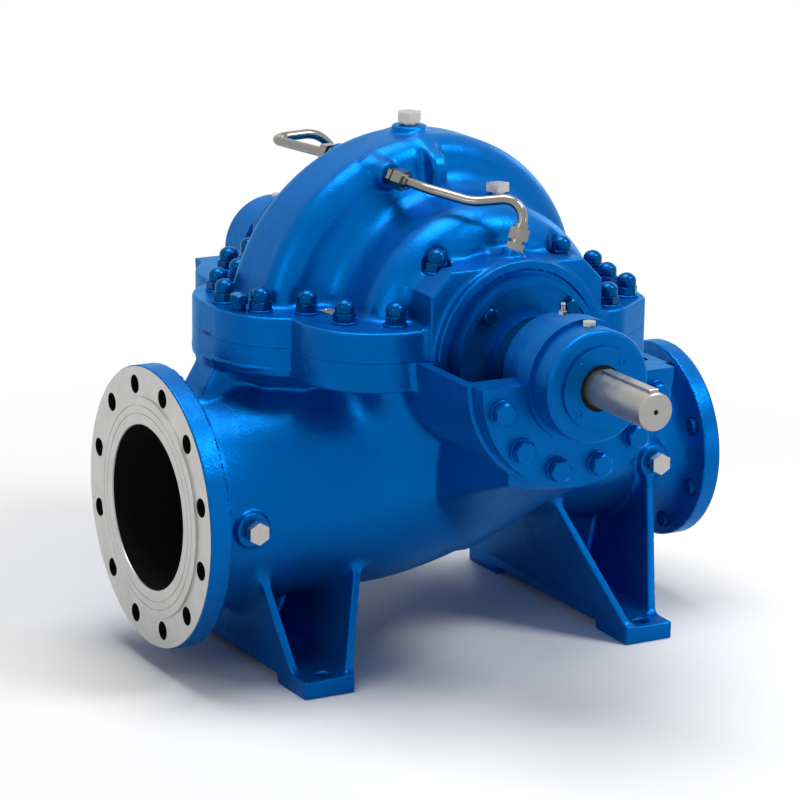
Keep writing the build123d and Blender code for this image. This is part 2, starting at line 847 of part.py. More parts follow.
# Flush pipes and their compression fittings
fitting_length = fitting_hex_t + fitting_neck_t + fitting_nut_t + fitting_tail_t
for end in ("drive", "far"):
    for place in ("volute", "seal"):
        seat = flush_seat(end, place)
        with BuildPart() as fitting:
            with BuildSketch(seat):
                Circle(fitting_thread_r)
            extrude(amount=-thread_depth)
            with BuildSketch(seat):
                RegularPolygon(fitting_hex_af / 2, 6, major_radius=False)
            extrude(amount=fitting_hex_t)
            with BuildSketch(seat.offset(fitting_hex_t)):
                Circle(fitting_neck_r)
            extrude(amount=fitting_neck_t)
            with BuildSketch(seat.offset(fitting_hex_t + fitting_neck_t)):
                RegularPolygon(fitting_nut_af / 2, 6, major_radius=False)
            extrude(amount=fitting_nut_t)
            with BuildSketch(seat.offset(fitting_length - fitting_tail_t)):
                Circle(fitting_tail_r)
            extrude(amount=fitting_tail_t)
            with BuildSketch(seat.offset(fitting_length)):
                Circle(pipe_d / 2)
            extrude(amount=-pipe_seat, mode=Mode.SUBTRACT)
        fitting.part.label = "flush_fitting_" + place + "_" + end
        export_step(fitting.part, "parts/flush_fitting_" + place + "_" + end + ".step")
    pipe_start = flush_seat(end, "volute").offset(fitting_length - pipe_seat)
    pipe_finish = flush_seat(end, "seal").offset(fitting_length - pipe_seat)
    with BuildPart() as flush_pipe:
        with BuildLine():
            FilletPolyline(
                pipe_start.origin, *flush_points(end)[1:-1], pipe_finish.origin, radius=flush_radii[end]
            )
        with BuildSketch(pipe_start):
            Circle(pipe_d / 2)
        sweep()
    flush_pipe.part.label = "flush_pipe_" + end
    export_step(flush_pipe.part, "parts/flush_pipe_" + end + ".step")


# Bare plate riveted on the joint flange
with BuildPart() as name_plate:
    with BuildSketch(Plane(origin=(plate_x, plate_y, top_z + joint_flange_t), x_dir=plate_direction)):
        RectangleRounded(plate_length, plate_width, plate_corner_r)
    extrude(amount=plate_t)
name_plate.part.label = "name_plate"
export_step(name_plate.part, "parts/name_plate.step")
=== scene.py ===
# %% [markdown]
# # A horizontally split centrifugal pump
# The pump's pieces come from a CAD model in one shared frame: X runs from the suction flange to the
# discharge flange, Y along the shaft, Z up, and the feet stand on zero. Blender's task is the look of
# every surface. The object is seen from the front left and a little above, so the camera comes first:
# every later choice is judged through it.

# %% Frame and camera
import bpy
import math
import numpy as np
from mathutils import Matrix, Vector


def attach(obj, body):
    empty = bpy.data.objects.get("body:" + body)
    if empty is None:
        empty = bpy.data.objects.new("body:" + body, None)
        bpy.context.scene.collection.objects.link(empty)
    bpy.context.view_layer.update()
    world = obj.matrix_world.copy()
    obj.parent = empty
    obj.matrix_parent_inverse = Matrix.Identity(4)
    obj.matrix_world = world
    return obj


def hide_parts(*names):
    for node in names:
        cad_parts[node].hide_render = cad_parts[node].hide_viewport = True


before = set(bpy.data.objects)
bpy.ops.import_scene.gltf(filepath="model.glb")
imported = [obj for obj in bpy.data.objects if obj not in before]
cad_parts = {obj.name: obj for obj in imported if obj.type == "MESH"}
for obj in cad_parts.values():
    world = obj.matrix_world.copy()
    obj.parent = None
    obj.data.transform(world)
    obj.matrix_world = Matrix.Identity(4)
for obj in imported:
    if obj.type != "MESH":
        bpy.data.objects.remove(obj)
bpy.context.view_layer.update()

camera_azimuth = math.radians(-29.084)
camera_elevation = math.radians(15.102)
camera_roll = math.radians(0.92)
camera_distance = 4.4662
camera_target = Vector((0.05956, 0.15505, 0.24259))
focal_pixels = 3496.8
picture_pixels = 800
sensor_mm = 36


def add_camera():
    """Camera on a sphere round its target, at the angle of the photograph."""
    back = Vector((
        math.sin(camera_azimuth) * math.cos(camera_elevation),
        -math.cos(camera_azimuth) * math.cos(camera_elevation),
        math.sin(camera_elevation),
    ))
    right = (-back).cross(Vector((0, 0, 1))).normalized()
    up = right.cross(-back)
    tilted_right = math.cos(camera_roll) * right + math.sin(camera_roll) * up
    tilted_up = -math.sin(camera_roll) * right + math.cos(camera_roll) * up
    turn = Matrix((tilted_right, tilted_up, back)).transposed()
    data = bpy.data.cameras.new("camera")
    data.sensor_width = sensor_mm
    data.lens = focal_pixels * sensor_mm / picture_pixels
    camera = bpy.data.objects.new("camera", data)
    camera.matrix_world = Matrix.Translation(camera_target + camera_distance * back) @ turn.to_4x4()
    bpy.context.collection.objects.link(camera)
    bpy.context.scene.camera = camera


add_camera()
print("camera", picture_pixels, "pixels, focal length", focal_pixels)

# %% [markdown]
# ## Light and floor
# A product photograph is lit by large soft boxes. Area lamps do that job: their size sets how soft a
# highlight is, and the pale world fills the shadows. The floor is a plain sheet that keeps the shadow
# of the feet. Away from the pump the sheet turns into plain white for every ray that shows the
# background, so the picture's ground is white without more light falling on the pump.

# %% Light and floor
lamp_plan = [
    # name, place, width, height, watts
    ("key", (1.5, -1.7, 3.0), 1.1, 1.1, 52),
    ("top", (-0.1, 0.3, 3.6), 2.2, 2.2, 96),
    ("right", (3.2, 1.6, 1.5), 1.2, 1.4, 12),
    ("low", (2.2, -3.0, 0.7), 1.0, 0.8, 6),
    ("left", (-3.2, -1.4, 1.6), 1.2, 1.2, 12),
]
lamp_aim = Vector((0, 0, 0.3))
world_strength = 0.2
floor_half = 8.0
floor_colour = (0.86, 0.86, 0.86, 1)
floor_roughness = 0.9
white = (1, 1, 1, 1)
shadow_reach = (0.5, 1.3)  # metres from the pump's middle: all shadow up to the first, none past the second


def add_lamp(name, place, width, height, watts):
    """A rectangular soft box that looks at the middle of the pump."""
    data = bpy.data.lights.new(name, "AREA")
    data.shape = "RECTANGLE"
    data.size = width
    data.size_y = height
    data.energy = watts
    lamp = bpy.data.objects.new(name, data)
    lamp.location = place
    lamp.rotation_euler = (lamp_aim - Vector(place)).to_track_quat("-Z", "Y").to_euler()
    bpy.context.collection.objects.link(lamp)


def arithmetic(tree, operation, first, second):
    """Math node on two values, each a varying one or a plain number."""
    node = tree.nodes.new("ShaderNodeMath")
    node.operation = operation
    for socket, value in zip(node.inputs, (first, second)):
        if isinstance(value, bpy.types.NodeSocket):
            tree.links.new(value, socket)
        else:
            socket.default_value = value
    return node.outputs[0]


def spread(tree, value, span, low=0, high=1, ease="LINEAR"):
    """A varying value carried from one span to another, held at both ends."""
    node = tree.nodes.new("ShaderNodeMapRange")
    node.interpolation_type = ease
    tree.links.new(value, node.inputs["Value"])
    node.inputs["From Min"].default_value, node.inputs["From Max"].default_value = span
    node.inputs["To Min"].default_value, node.inputs["To Max"].default_value = low, high
    return node.outputs["Result"]


def seen_rays(tree):
    """1 for rays that show the background: the camera's own, and those by way of metal or glass."""
    path = tree.nodes.new("ShaderNodeLightPath")
    seen = path.outputs["Is Camera Ray"]
    for name in ("Is Glossy Ray", "Is Transmission Ray"):
        seen = arithmetic(tree, "MAXIMUM", seen, path.outputs[name])
    return seen


def mix_to(tree, output, share, first, second):
    """Blend two shaders by a share and send the result to the surface of an output."""
    mix = tree.nodes.new("ShaderNodeMixShader")
    for socket, value in zip(mix.inputs, (share, first.outputs[0], second.outputs[0])):
        tree.links.new(value, socket)
    tree.links.new(mix.outputs[0], tree.nodes[output].inputs["Surface"])


def add_world():
    """Pale light from everywhere, and plain white behind the pump."""
    world = bpy.data.worlds.new("studio")
    world.use_nodes = True
    tree = world.node_tree
    fill = tree.nodes["Background"]
    fill.inputs["Color"].default_value = white
    fill.inputs["Strength"].default_value = world_strength
    behind = tree.nodes.new("ShaderNodeBackground")
    behind.inputs["Color"].default_value = white
    behind.inputs["Strength"].default_value = 1.0
    mix_to(tree, "World Output", seen_rays(tree), fill, behind)
    bpy.context.scene.world = world


def add_floor():
    """A wide pale sheet on which the pump's shadow falls, plain white to the eye further out."""
    mesh = bpy.data.meshes.new("floor")
    corners = [(floor_half * x, floor_half * y, 0) for x, y in ((-1, -1), (1, -1), (1, 1), (-1, 1))]
    mesh.from_pydata(corners, [], [(0, 1, 2, 3)])
    floor = bpy.data.objects.new("floor", mesh)
    bpy.context.collection.objects.link(floor)
    material = bpy.data.materials.new("floor")
    material.use_nodes = True
    tree = material.node_tree
    shader = tree.nodes["Principled BSDF"]
    shader.inputs["Base Color"].default_value = floor_colour
    shader.inputs["Roughness"].default_value = floor_roughness
    shader.inputs["Specular IOR Level"].default_value = 0.0
    place = tree.nodes.new("ShaderNodeTexCoord")
    away = tree.nodes.new("ShaderNodeVectorMath")
    away.operation = "LENGTH"
    tree.links.new(place.outputs["Object"], away.inputs[0])
    bare = spread(tree, away.outputs["Value"], shadow_reach, ease="SMOOTHSTEP")
    plain = tree.nodes.new("ShaderNodeEmission")
    plain.inputs["Color"].default_value = white
    mix_to(tree, "Material Output", arithmetic(tree, "MULTIPLY", bare, seen_rays(tree)), shader, plain)
    mesh.materials.append(material)


for plan in lamp_plan:
    add_lamp(*plan)
add_world()
add_floor()
bpy.context.scene.view_settings.view_transform = "Standard"
print("lamps", len(lamp_plan), "with", sum(plan[-1] for plan in lamp_plan), "watts")

# %% [markdown]
# ## Castings as distance fields
# On the real pump each half of the casing is one iron casting. A wooden pattern is pressed into sand,
# and iron can't fill a sharp inner corner, so every place where two forms meet is a soft fillet. Bevels
# on a boolean model break down where many forms meet, and sculpting leaves no sizes. A distance field
# has neither fault: each form is a formula that says how far a point in space is from its skin, two
# forms join by a smooth minimum that pours the fillet between them, and the skin is where the distance
# is zero. All distances in these cells are in millimetres. The last value of a join is its fillet, and
# the last value of a solid is the radius of its edges.

# %% Distances and joins
mm = 0.001


def join(a, b, fillet):
    """Smooth minimum: the smaller distance, less a parabola where the two differ by under the fillet."""
    near = np.maximum(fillet - np.abs(a - b), 0) / fillet
    return np.minimum(a, b) - near * near * fillet / 4


def cut(a, b, edge=0):
    """Take b away from a: the larger of a and minus b, with the edge rounded as join does."""
    if edge:
        return -join(-a, b, edge)
    return np.maximum(a, -b)


def between(value, low, high):
    """Distance past either end of a range, less than zero inside it."""
    return np.abs(value - (low + high) / 2) - (high - low) / 2


def prism(outline, height_distance, edge):
    """Straight solid from an outline distance and a height distance, its edges rounded."""
    a, b = outline + edge, height_distance + edge
    return np.minimum(np.maximum(a, b), 0) + np.hypot(np.maximum(a, 0), np.maximum(b, 0)) - edge


def box(x, y, z, middle, half, edge):
    """Box with rounded edges: distance beyond each pair of faces, added as a vector."""
    a, b, c = (np.abs(v - m) - h + edge for v, m, h in zip((x, y, z), middle, half))
    outside = np.sqrt(np.maximum(a, 0) ** 2 + np.maximum(b, 0) ** 2 + np.maximum(c, 0) ** 2)
    return outside + np.minimum(np.maximum(np.maximum(a, b), c), 0) - edge


def disc(across_a, across_b, along, radius, start, end, edge):
    """Cylinder: distance from its axis less the radius, and distance along it past either end."""
    return prism(np.hypot(across_a, across_b) - radius, between(along, start, end), edge)


def rod(x, y, z, foot, tip, radius, edge):
    """Cylinder between two points: the same distances, measured on a slanting axis."""
    foot, tip = np.array(foot, float), np.array(tip, float)
    length = np.linalg.norm(tip - foot)
    way = (tip - foot) / length
    dx, dy, dz = x - foot[0], y - foot[1], z - foot[2]
    along = dx * way[0] + dy * way[1] + dz * way[2]
    away = np.sqrt(np.maximum(dx * dx + dy * dy + dz * dz - along * along, 0))
    return prism(away - radius, between(along, 0, length), edge)


def through(x, places, values):
    """Smooth curve through stations: cubic pieces whose slopes are those of each station's neighbours."""
    places, values = np.array(places, float), np.array(values, float)
    slopes = np.gradient(values, places)
    i = np.clip(np.searchsorted(places, x) - 1, 0, len(places) - 2)
    width = places[i + 1] - places[i]
    t = np.clip((x - places[i]) / width, 0, 1)
    start = values[i] * (2 * t + 1) * (1 - t) ** 2 + slopes[i] * width * t * (1 - t) ** 2
    return start + values[i + 1] * t * t * (3 - 2 * t) + slopes[i + 1] * width * t * t * (t - 1)


def convex(x, y, corners):
    """Distance from a convex outline given by its corners in order, anticlockwise."""
    inner, outer = np.full(np.broadcast(x, y).shape, -1e9, np.float32), None
    for (ax, ay), (bx, by) in zip(corners, corners[1:] + corners[:1]):
        ex, ey = bx - ax, by - ay
        length = math.hypot(ex, ey)
        inner = np.maximum(inner, ((x - ax) * ey - (y - ay) * ex) / length)
        t = np.clip(((x - ax) * ex + (y - ay) * ey) / length ** 2, 0, 1)
        gap = np.hypot(x - ax - t * ex, y - ay - t * ey)
        outer = gap if outer is None else np.minimum(outer, gap)
    return np.where(inner > 0, outer, inner)


print("where two skins cross, a fillet of 8 mm pours in", -float(join(0.0, 0.0, 8)), "mm of metal")

# %% [markdown]
# ## From distances to a skin
# The field is sampled on a grid of a few millimetres. Each grid cell that the skin passes through gets
# one point, at the middle of the places where the skin crosses the cell's edges, and each grid edge
# that it crosses gets one face between the four cells around it.

# %% Points and faces of a skin
grid_step = 3.0


def cell_points(field):
    """One point for each cell with both signs at its corners, and the cell's number in a lookup."""
    inside = field < 0
    shape = tuple(n - 1 for n in field.shape)
    count = np.zeros(shape, np.int8)
    for corner in np.ndindex(2, 2, 2):
        count += inside[tuple(slice(c, c + n) for c, n in zip(corner, shape))]
    cells = np.argwhere((count > 0) & (count < 8))
    lookup = np.full(shape, -1, np.int32)
    lookup[tuple(cells.T)] = np.arange(len(cells))
    total = np.zeros((len(cells), 3))
    hits = np.zeros((len(cells), 1))
    for axis in range(3):
        for offset in np.ndindex(2, 2):
            start = cells.copy()
            start[:, (axis + 1) % 3] += offset[0]
            start[:, (axis + 2) % 3] += offset[1]
            end = start.copy()
            end[:, axis] += 1
            a, b = field[tuple(start.T)], field[tuple(end.T)]
            hit = (a < 0) != (b < 0)
            point = start[hit].astype(float)
            point[:, axis] += a[hit] / (a[hit] - b[hit])
            total[hit] += point
            hits[hit] += 1
    return total / hits, lookup, inside


def cell_faces(lookup, inside):
    """One face round each grid edge whose two ends have opposite signs, turned to face outwards."""
    faces = []
    for axis in range(3):
        b, c = (axis + 1) % 3, (axis + 2) % 3
        low = [slice(1, -1)] * 3
        low[axis] = slice(0, -1)
        high = list(low)
        high[axis] = slice(1, None)
        start, end = inside[tuple(low)], inside[tuple(high)]
        edges = np.argwhere(start != end)
        outward = start[tuple(edges.T)]
        edges[:, b] += 1
        edges[:, c] += 1
        ring = []
        for back_b, back_c in ((1, 1), (0, 1), (0, 0), (1, 0)):
            cell = edges.copy()
            cell[:, b] -= back_b
            cell[:, c] -= back_c
            ring.append(lookup[tuple(cell.T)])
        ring = np.stack(ring, 1)
        ring[~outward] = ring[~outward][:, ::-1]
        faces.append(ring)
    return np.concatenate(faces)


print("grid step", grid_step, "mm")

# %% [markdown]
# ## Onto the skin
# Those points are still up to a cell's width off, and a render would show the grid's steps. So they are
# walked along the field's slope until their distance is zero. The joint face of a half is planed flat:
# its points are set on the plane, and those near the rim slide sideways to it.

# %% Settled skin
settle_step = 0.5
least_slope = 0.05
settle_rounds = 4
rim_width = 0.9  # of a grid step


def slope(shape, p, step, flat=False):
    """Gradient of the field: differences of its value on both sides of each point, level if flat."""
    result = np.zeros_like(p)
    for axis in range(2 if flat else 3):
        move = np.zeros(3)
        move[axis] = step
        result[:, axis] = (shape(*(p + move).T) - shape(*(p - move).T)) / (2 * step)
    return result


def settle(shape, p, flat=False):
    """Walk points to the zero of the field, by its value over its slope, at most one grid step."""
    start = p.copy()
    for _ in range(settle_rounds):
        g = slope(shape, p, settle_step, flat)
        size = np.maximum((g * g).sum(1), least_slope)
        p = p - g * (shape(*p.T) / size)[:, None]
    gap = p - start
    far = np.linalg.norm(gap, axis=1, keepdims=True)
    return start + gap * np.minimum(1, grid_step / np.maximum(far, 1e-6))


def skin(shape, low, high, plane, keep, same_ends):
    """Points and faces of a casting on one side of the joint plane: keep is 1 below it and -1 above.

    Where both ends are the same, one end's field is worked out and mirrored.
    """
    axes = []
    for axis, (a, b) in enumerate(zip(low, high)):
        first = plane + grid_step / 2 if axis == 2 else grid_step / 2
        k0 = math.floor((a - first) / grid_step) - 1
        k1 = math.ceil((b - first) / grid_step) + 1
        axes.append((first + grid_step * np.arange(k0, k1 + 1)).astype(np.float32))
    x, y, z = np.meshgrid(*axes, indexing="ij", sparse=True)
    if same_ends:
        y = y[:, y[0, :, 0] > 0, :]
    field = np.maximum(shape(x, y, z), -keep * (plane - z))
    if same_ends:
        field = np.concatenate((field[:, ::-1], field), 1)
    points, lookup, inside = cell_points(field)
    faces = cell_faces(lookup, inside)
    points = np.array([a[0] for a in axes]) + grid_step * points
    on_plane = np.abs(points[:, 2] - plane) < grid_step / 2 - 1e-3
    points[on_plane, 2] = plane
    rim = on_plane.copy()
    rim[on_plane] = shape(*points[on_plane].T) > -rim_width * grid_step
    points[rim] = settle(shape, points[rim], flat=True)
    points[~on_plane] = settle(shape, points[~on_plane])
    return points, faces


print("a point is settled in", settle_rounds, "rounds")

# %% [markdown]
# ## Thinning and shading
# A casting has long smooth stretches that need few faces, so faces are merged where the skin is
# flattest. Large flat faces would then show in the gloss of the paint. The form itself knows better
# than its faces which way it looks, so each corner's normal is the field's own slope. At a sharp edge
# the slope on either side is another one, and the faces around the point decide by their area.

# %% Meshes, thinning and normals
normal_step = 0.3
plane_tolerance = 0.1
sharp_cosine = math.cos(math.radians(28))
wall_slope = 0.7  # a joint-face point with less upward slope than this stands on the rim's wall


def add_mesh(name, points, faces):
    """A mesh object in metres from points in millimetres, riding on the pump's body."""
    mesh = bpy.data.meshes.new(name)
    mesh.vertices.add(len(points))
    mesh.vertices.foreach_set("co", (np.asarray(points) * mm).astype(np.float32).ravel())
    mesh.loops.add(faces.size)
    mesh.loops.foreach_set("vertex_index", faces.astype(np.int32).ravel())
    mesh.polygons.add(len(faces))
    mesh.polygons.foreach_set("loop_start", np.arange(0, faces.size, faces.shape[1], dtype=np.int32))
    mesh.update(calc_edges=True)
    mesh.validate()
    piece = bpy.data.objects.new(name, mesh)
    bpy.context.collection.objects.link(piece)
    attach(piece, "pump")
    return piece


def thin_out(piece, triangles):
    """Merge four-sided faces where the skin is flattest, down to that many triangles."""
    mesh = piece.data
    now = 2 * len(mesh.polygons)
    if now <= triangles:
        return
    thin = piece.modifiers.new("thin", "DECIMATE")
    thin.ratio = triangles / now
    graph = bpy.context.evaluated_depsgraph_get()
    result = bpy.data.meshes.new_from_object(piece.evaluated_get(graph))
    piece.modifiers.remove(thin)
    piece.data = result
    result.name = piece.name
    bpy.data.meshes.remove(mesh)


def read(items, what, kind, width=1):
    """One array from a mesh's list, with a row for each item."""
    values = np.empty(width * len(items), kind)
    items.foreach_get(what, values)
    return values.reshape(-1, width) if width > 1 else values


def unit(vectors):
    """The same directions at length one."""
    return vectors / np.maximum(np.linalg.norm(vectors, axis=1, keepdims=True), 1e-12)


def faces_by_area(mesh, points):
    """Direction at each point: the cross products of its triangles' sides, as long as their areas, added."""
    mesh.calc_loop_triangles()
    corners = read(mesh.loop_triangles, "vertices", np.int32, 3)
    a, b, c = (points[corners[:, i]] for i in range(3))
    sums = []
    for area in np.cross(b - a, c - a).T:
        sums.append(sum(np.bincount(corners[:, i], area, len(points)) for i in range(3)))
    return unit(np.stack(sums, 1))


def set_normals(piece, shape, plane):
    """Corner normals: the form's own slope, the faces' sum at a sharp edge, the face's own on the plane."""
    mesh = piece.data
    points = read(mesh.vertices, "co", np.float32, 3)
    normals = faces_by_area(mesh, points)
    form = unit(slope(shape, (points / mm).astype(float), normal_step))
    on_plane = np.abs(points[:, 2] / mm - plane) < plane_tolerance
    alike = (form * normals).sum(1) > sharp_cosine
    by_form = np.where(on_plane, np.abs(form[:, 2]) < wall_slope, alike)
    normals[by_form] = form[by_form]
    sides = read(mesh.polygons, "loop_total", np.int32)
    used = read(mesh.loops, "vertex_index", np.int32)
    owner = np.repeat(np.arange(len(sides)), sides)
    flat = np.bincount(owner, on_plane[used]) == sides
    own = read(mesh.polygons, "normal", np.float32, 3)[owner]
    mesh.shade_smooth()
    mesh.normals_split_custom_set(np.where(flat[owner][:, None], own, normals[used]).tolist())


print("normals follow the form up to", round(math.degrees(math.acos(sharp_cosine))), "degrees")

# %% [markdown]
# ## Lower half: barrel, nozzles and joint flange
# Water enters by the large flange on the left, splits to both sides of the impeller and leaves by the
# smaller flange on the right. The barrel between them is a chain of ellipses along X, wide where the
# spiral passage is deepest. The flange of the joint follows the nuts that it carries. On the suction
# side it is made of lobes: one round the side nuts and one round the nuts beside the shaft seal, with a
# tight corner between. Under it the casting narrows in sloping walls down to the barrel.

# %% Barrel and joint flange
shaft_z = 402
nozzle_z = 198
gasket_t = 1
joint_t = 35
flange_top_z = shaft_z + gasket_t + joint_t
side_margin = 28.5
discharge_margin = 23
outline_fillet = 3
side_lobe = ((194, 18), 95.5)  # middle and radius of its arc
front_lobe = ((140, 130), 92)
side_nuts = [(266, 0), (247, 57), (203, 90)]
lobe_nuts = [(186, 152), (139, 189)]
discharge_nuts = [(212, 53), (193, 117), (184, 175), (138, 207)]
suction_face = -368
discharge_face = 367
suction_r = 170
discharge_r = 125
suction_flange_t = 30
discharge_flange_t = 26
raised_face = 3
barrel_end = 340
past_middle = 9
neck_corner = (199, 90)
neck_inset = (11, 10)
neck_taper = math.radians(50)
rib_x = (190, 330)
rib_half = 30
rib_depth = 90
rib_lean_x = 290
rib_lean = math.radians(31)
barrel_stations = [
    # x, centre height, half width, half height
    (-350, 198, 127, 127),
    (-290, 201, 131, 135),
    (-190, 221.5, 150, 146),
    (-75, 239, 175, 160.5),
    (20, 252, 180, 148),
    (100, 263, 160, 126),
    (190, 219.5, 116, 98),
    (270, 199, 86, 85),
    (350, 198, 80, 80),
]


def lobe(x, y, centre, radius):
    """Plan distance of a corner rounded by an arc, for the part of the flange on the suction side."""
    past = np.hypot(np.maximum(-x - centre[0], 0), np.maximum(y - centre[1], 0))
    return np.maximum(past - radius, x)


def quarter(corners):
    """Outline of one quarter from its outer corners, closed a little past both middle planes."""
    start, end = (corners[0][0], -past_middle), (-past_middle, corners[-1][1])
    return [(-past_middle, -past_middle), start] + corners + [end]


def joint_outline(x, y):
    """Plan distance of the joint flange: two lobes, and straight edges round the discharge nuts."""
    y = np.abs(y)
    suction = join(lobe(x, y, *side_lobe), lobe(x, y, *front_lobe), outline_fillet)
    discharge = convex(x, y, quarter([discharge_nuts[i] for i in (0, 2, 3)])) - discharge_margin
    return join(suction, discharge, 2 * outline_fillet)


def barrel(x, y, z):
    """Ellipses along X: how far the point's own scaled radius is over 1, divided by that radius's slope."""
    places, centre, wide, high = zip(*barrel_stations)
    zc, hw, hh = (through(x, places, v) for v in (centre, wide, high))
    scaled = np.sqrt((y / hw) ** 2 + ((z - zc) / hh) ** 2) + 1e-6
    steep = np.sqrt((y / hw ** 2) ** 2 + ((z - zc) / hh ** 2) ** 2) / scaled + 1e-6
    return np.maximum((scaled - 1) / steep, np.abs(x) - barrel_end)


def saddle(x, y, z):
    """Necks under the joint flange whose walls slope in, and a thick rib behind the suction flange."""
    y, depth = np.abs(y), shaft_z - joint_t - z
    suction = convex(-x, y, quarter(side_nuts)) - side_margin + neck_inset[0]
    discharge = convex(x, y, quarter([discharge_nuts[0], neck_corner])) - discharge_margin + neck_inset[1]
    neck = (np.minimum(suction, discharge) + depth * math.tan(neck_taper)) * math.cos(neck_taper)
    end = (-x - rib_lean_x - depth * math.tan(rib_lean)) * math.cos(rib_lean)
    side = np.maximum(np.maximum(end, between(-x, *rib_x)), depth - rib_depth)
    return np.maximum(join(neck, prism(y - rib_half, side, 7), 14), -depth - 8)


def nozzle_flanges(x, y, z):
    """Painted bodies of the two round flanges, up to their raised faces."""
    up = z - nozzle_z
    start, end = suction_face + raised_face, discharge_face - raised_face
    suction = disc(y, up, x, suction_r, start, suction_face + suction_flange_t, 1.5)
    return suction, disc(y, up, x, discharge_r, discharge_face - discharge_flange_t, end, 1.5)


print("barrel stations", len(barrel_stations), "joint flange reaches", side_lobe[0][0] + side_lobe[1], "mm")

# %% [markdown]
# ## Brackets and feet
# Each bearing is held out from the casing by a half trough, open on top so that the shaft seal can be
# reached. A keel runs under it, flat on both sides and bellied below. The feet are two leaning webs on
# a plate, with a rib between them. Everything is written for the near side and read with the distance
# from the middle plane, so the far side follows as its mirror image.

# %% Brackets and feet
ring_r = 111
ring_end = 242
ring_bore_r = 99
ring_bore_depth = 30
shaft_hole_r = 34
shaft_hole_end = 260
trough_r = 132
trough_t = 12
trough_start = 112
bracket_end = 348
plate_t = 18
housing_r = 66
housing_seat = 250
keel_half = 75
keel_drop = 60
keel_line = [(120, 201, 130), (178, 221, 165), (260, 249, 220), (345, 279, 268)]  # y, side z, middle z
foot_inner_x = 189
foot_outer_x = 255
foot_middle_x = (foot_inner_x + foot_outer_x) / 2
foot_half = 194
foot_t = 22
foot_relief = 10
foot_pad = 72
foot_hole = (174, 9.5, 30)  # y, radius, top
web_t = 11
web_top_z = 190
web_end_z = 215
inner_web = (foot_inner_x + web_t / 2, 128, 190, 96)  # x at the foot and the top, y at the foot and the top
outer_web = (foot_outer_x - web_t / 2, 281, 158, 93)
foot_rib = (145, 275, 7, 200)  # inner x, outer x, half width, top
inner_lean = 67
outer_lean = 32
drains = [(-295, 138), (286, 96)]  # x and front end of each drain boss
drain_r = 21


def keel(x, y, z):
    """Keel: a parabola across X hung from a line that rises along Y, between two upright sides."""
    places, side, middle = zip(*keel_line)
    side_z, middle_z = (through(y, places, v) for v in (side, middle))
    depth = side_z - middle_z
    bottom = middle_z + depth * (x / keel_half) ** 2
    steep = np.sqrt(1 + (2 * depth * x / keel_half ** 2) ** 2)
    sides = np.maximum(np.abs(x) - keel_half, y - bracket_end + 4)
    return np.maximum(-join(-sides, (z - bottom) / steep, 5), z - shaft_z + keel_drop)


def web(x, y, z, foot_x, top_x, foot_y, top_y):
    """Leaning plate between its foot and its top, with a sloping front edge."""
    height = web_top_z - foot_t
    rise = np.clip((z - foot_t) / height, -1, 1.2)
    lean = math.cos(math.atan((top_x - foot_x) / height))
    across = (np.abs(x - foot_x - (top_x - foot_x) * rise) - web_t / 2) * lean
    return prism(across, np.maximum(y - foot_y - (top_y - foot_y) * rise, z - web_end_z), 3)


def foot(x, y, z):
    """Plate, two webs and the rib between them, for one side of X, held between two leaning planes."""
    half = (foot_outer_x - foot_middle_x, foot_half, foot_t / 2)
    plate = box(x, y, z, (foot_middle_x, 0, foot_t / 2), half, 2)
    webs = join(web(x, y, z, *inner_web), web(x, y, z, *outer_web), 6)
    inner_x, outer_x, rib_side, rib_top = foot_rib
    rib = np.maximum(prism(np.maximum(x - outer_x, inner_x - x), y - rib_side, 2), z - rib_top)
    rise = (z - foot_t) / (web_top_z - foot_t)
    outer = x - foot_outer_x + 4 - (outer_lean - 1) * rise
    lean = np.maximum(outer, foot_inner_x + 4 - x - inner_lean * rise)
    rise = np.maximum(rise, 0)
    sides = np.maximum(foot_inner_x - 0.3 - x - inner_lean * rise, x - foot_outer_x - 0.3 - outer_lean * rise)
    sides = np.maximum(sides, np.maximum(y - foot_half, -z))
    return np.maximum(join(join(plate, webs, 9), np.maximum(rib, lean), 9), sides)


print("keel stations", len(keel_line), "foot plate", foot_outer_x - foot_inner_x, "by", 2 * foot_half, "mm")

# %% [markdown]
# ## The lower casting as one form
# The forms are joined in the order in which a pattern maker would glue them up, large ones first, each
# with the fillet that shows on the casting. Hollows come last: the water passages, which sand cores
# leave, and with sharp edges what a machine takes away, as bolt holes and the seats round the shaft.

# %% Lower casting
chamber_r = 158
chamber_end = 183
chamber_nose = 46
ring_start = 58
bore_ends = [(100, -158, 30), (62.5, 217, 20)]  # radius, where the passage ends, radius of its end
suction_circle = 147.5
suction_holes = 12
discharge_circle = 105
discharge_holes = 8
bolt_holes = [
    # face, bolt circle, number of holes, radius of a hole
    (suction_face, suction_circle, suction_holes, 12),
    (discharge_face, discharge_circle, discharge_holes, 10),
]
bolt_hole_depth = 40


def bore_for_shaft(body, radial, y):
    """The bore of the seal's ring and the hole behind it, the same in both halves."""
    ring_bore = prism(radial - ring_bore_r, between(y, ring_end - ring_bore_depth, ring_end + 30), 1)
    body = cut(body, ring_bore)
    return cut(body, np.maximum(radial - shaft_hole_r, y - shaft_hole_end))


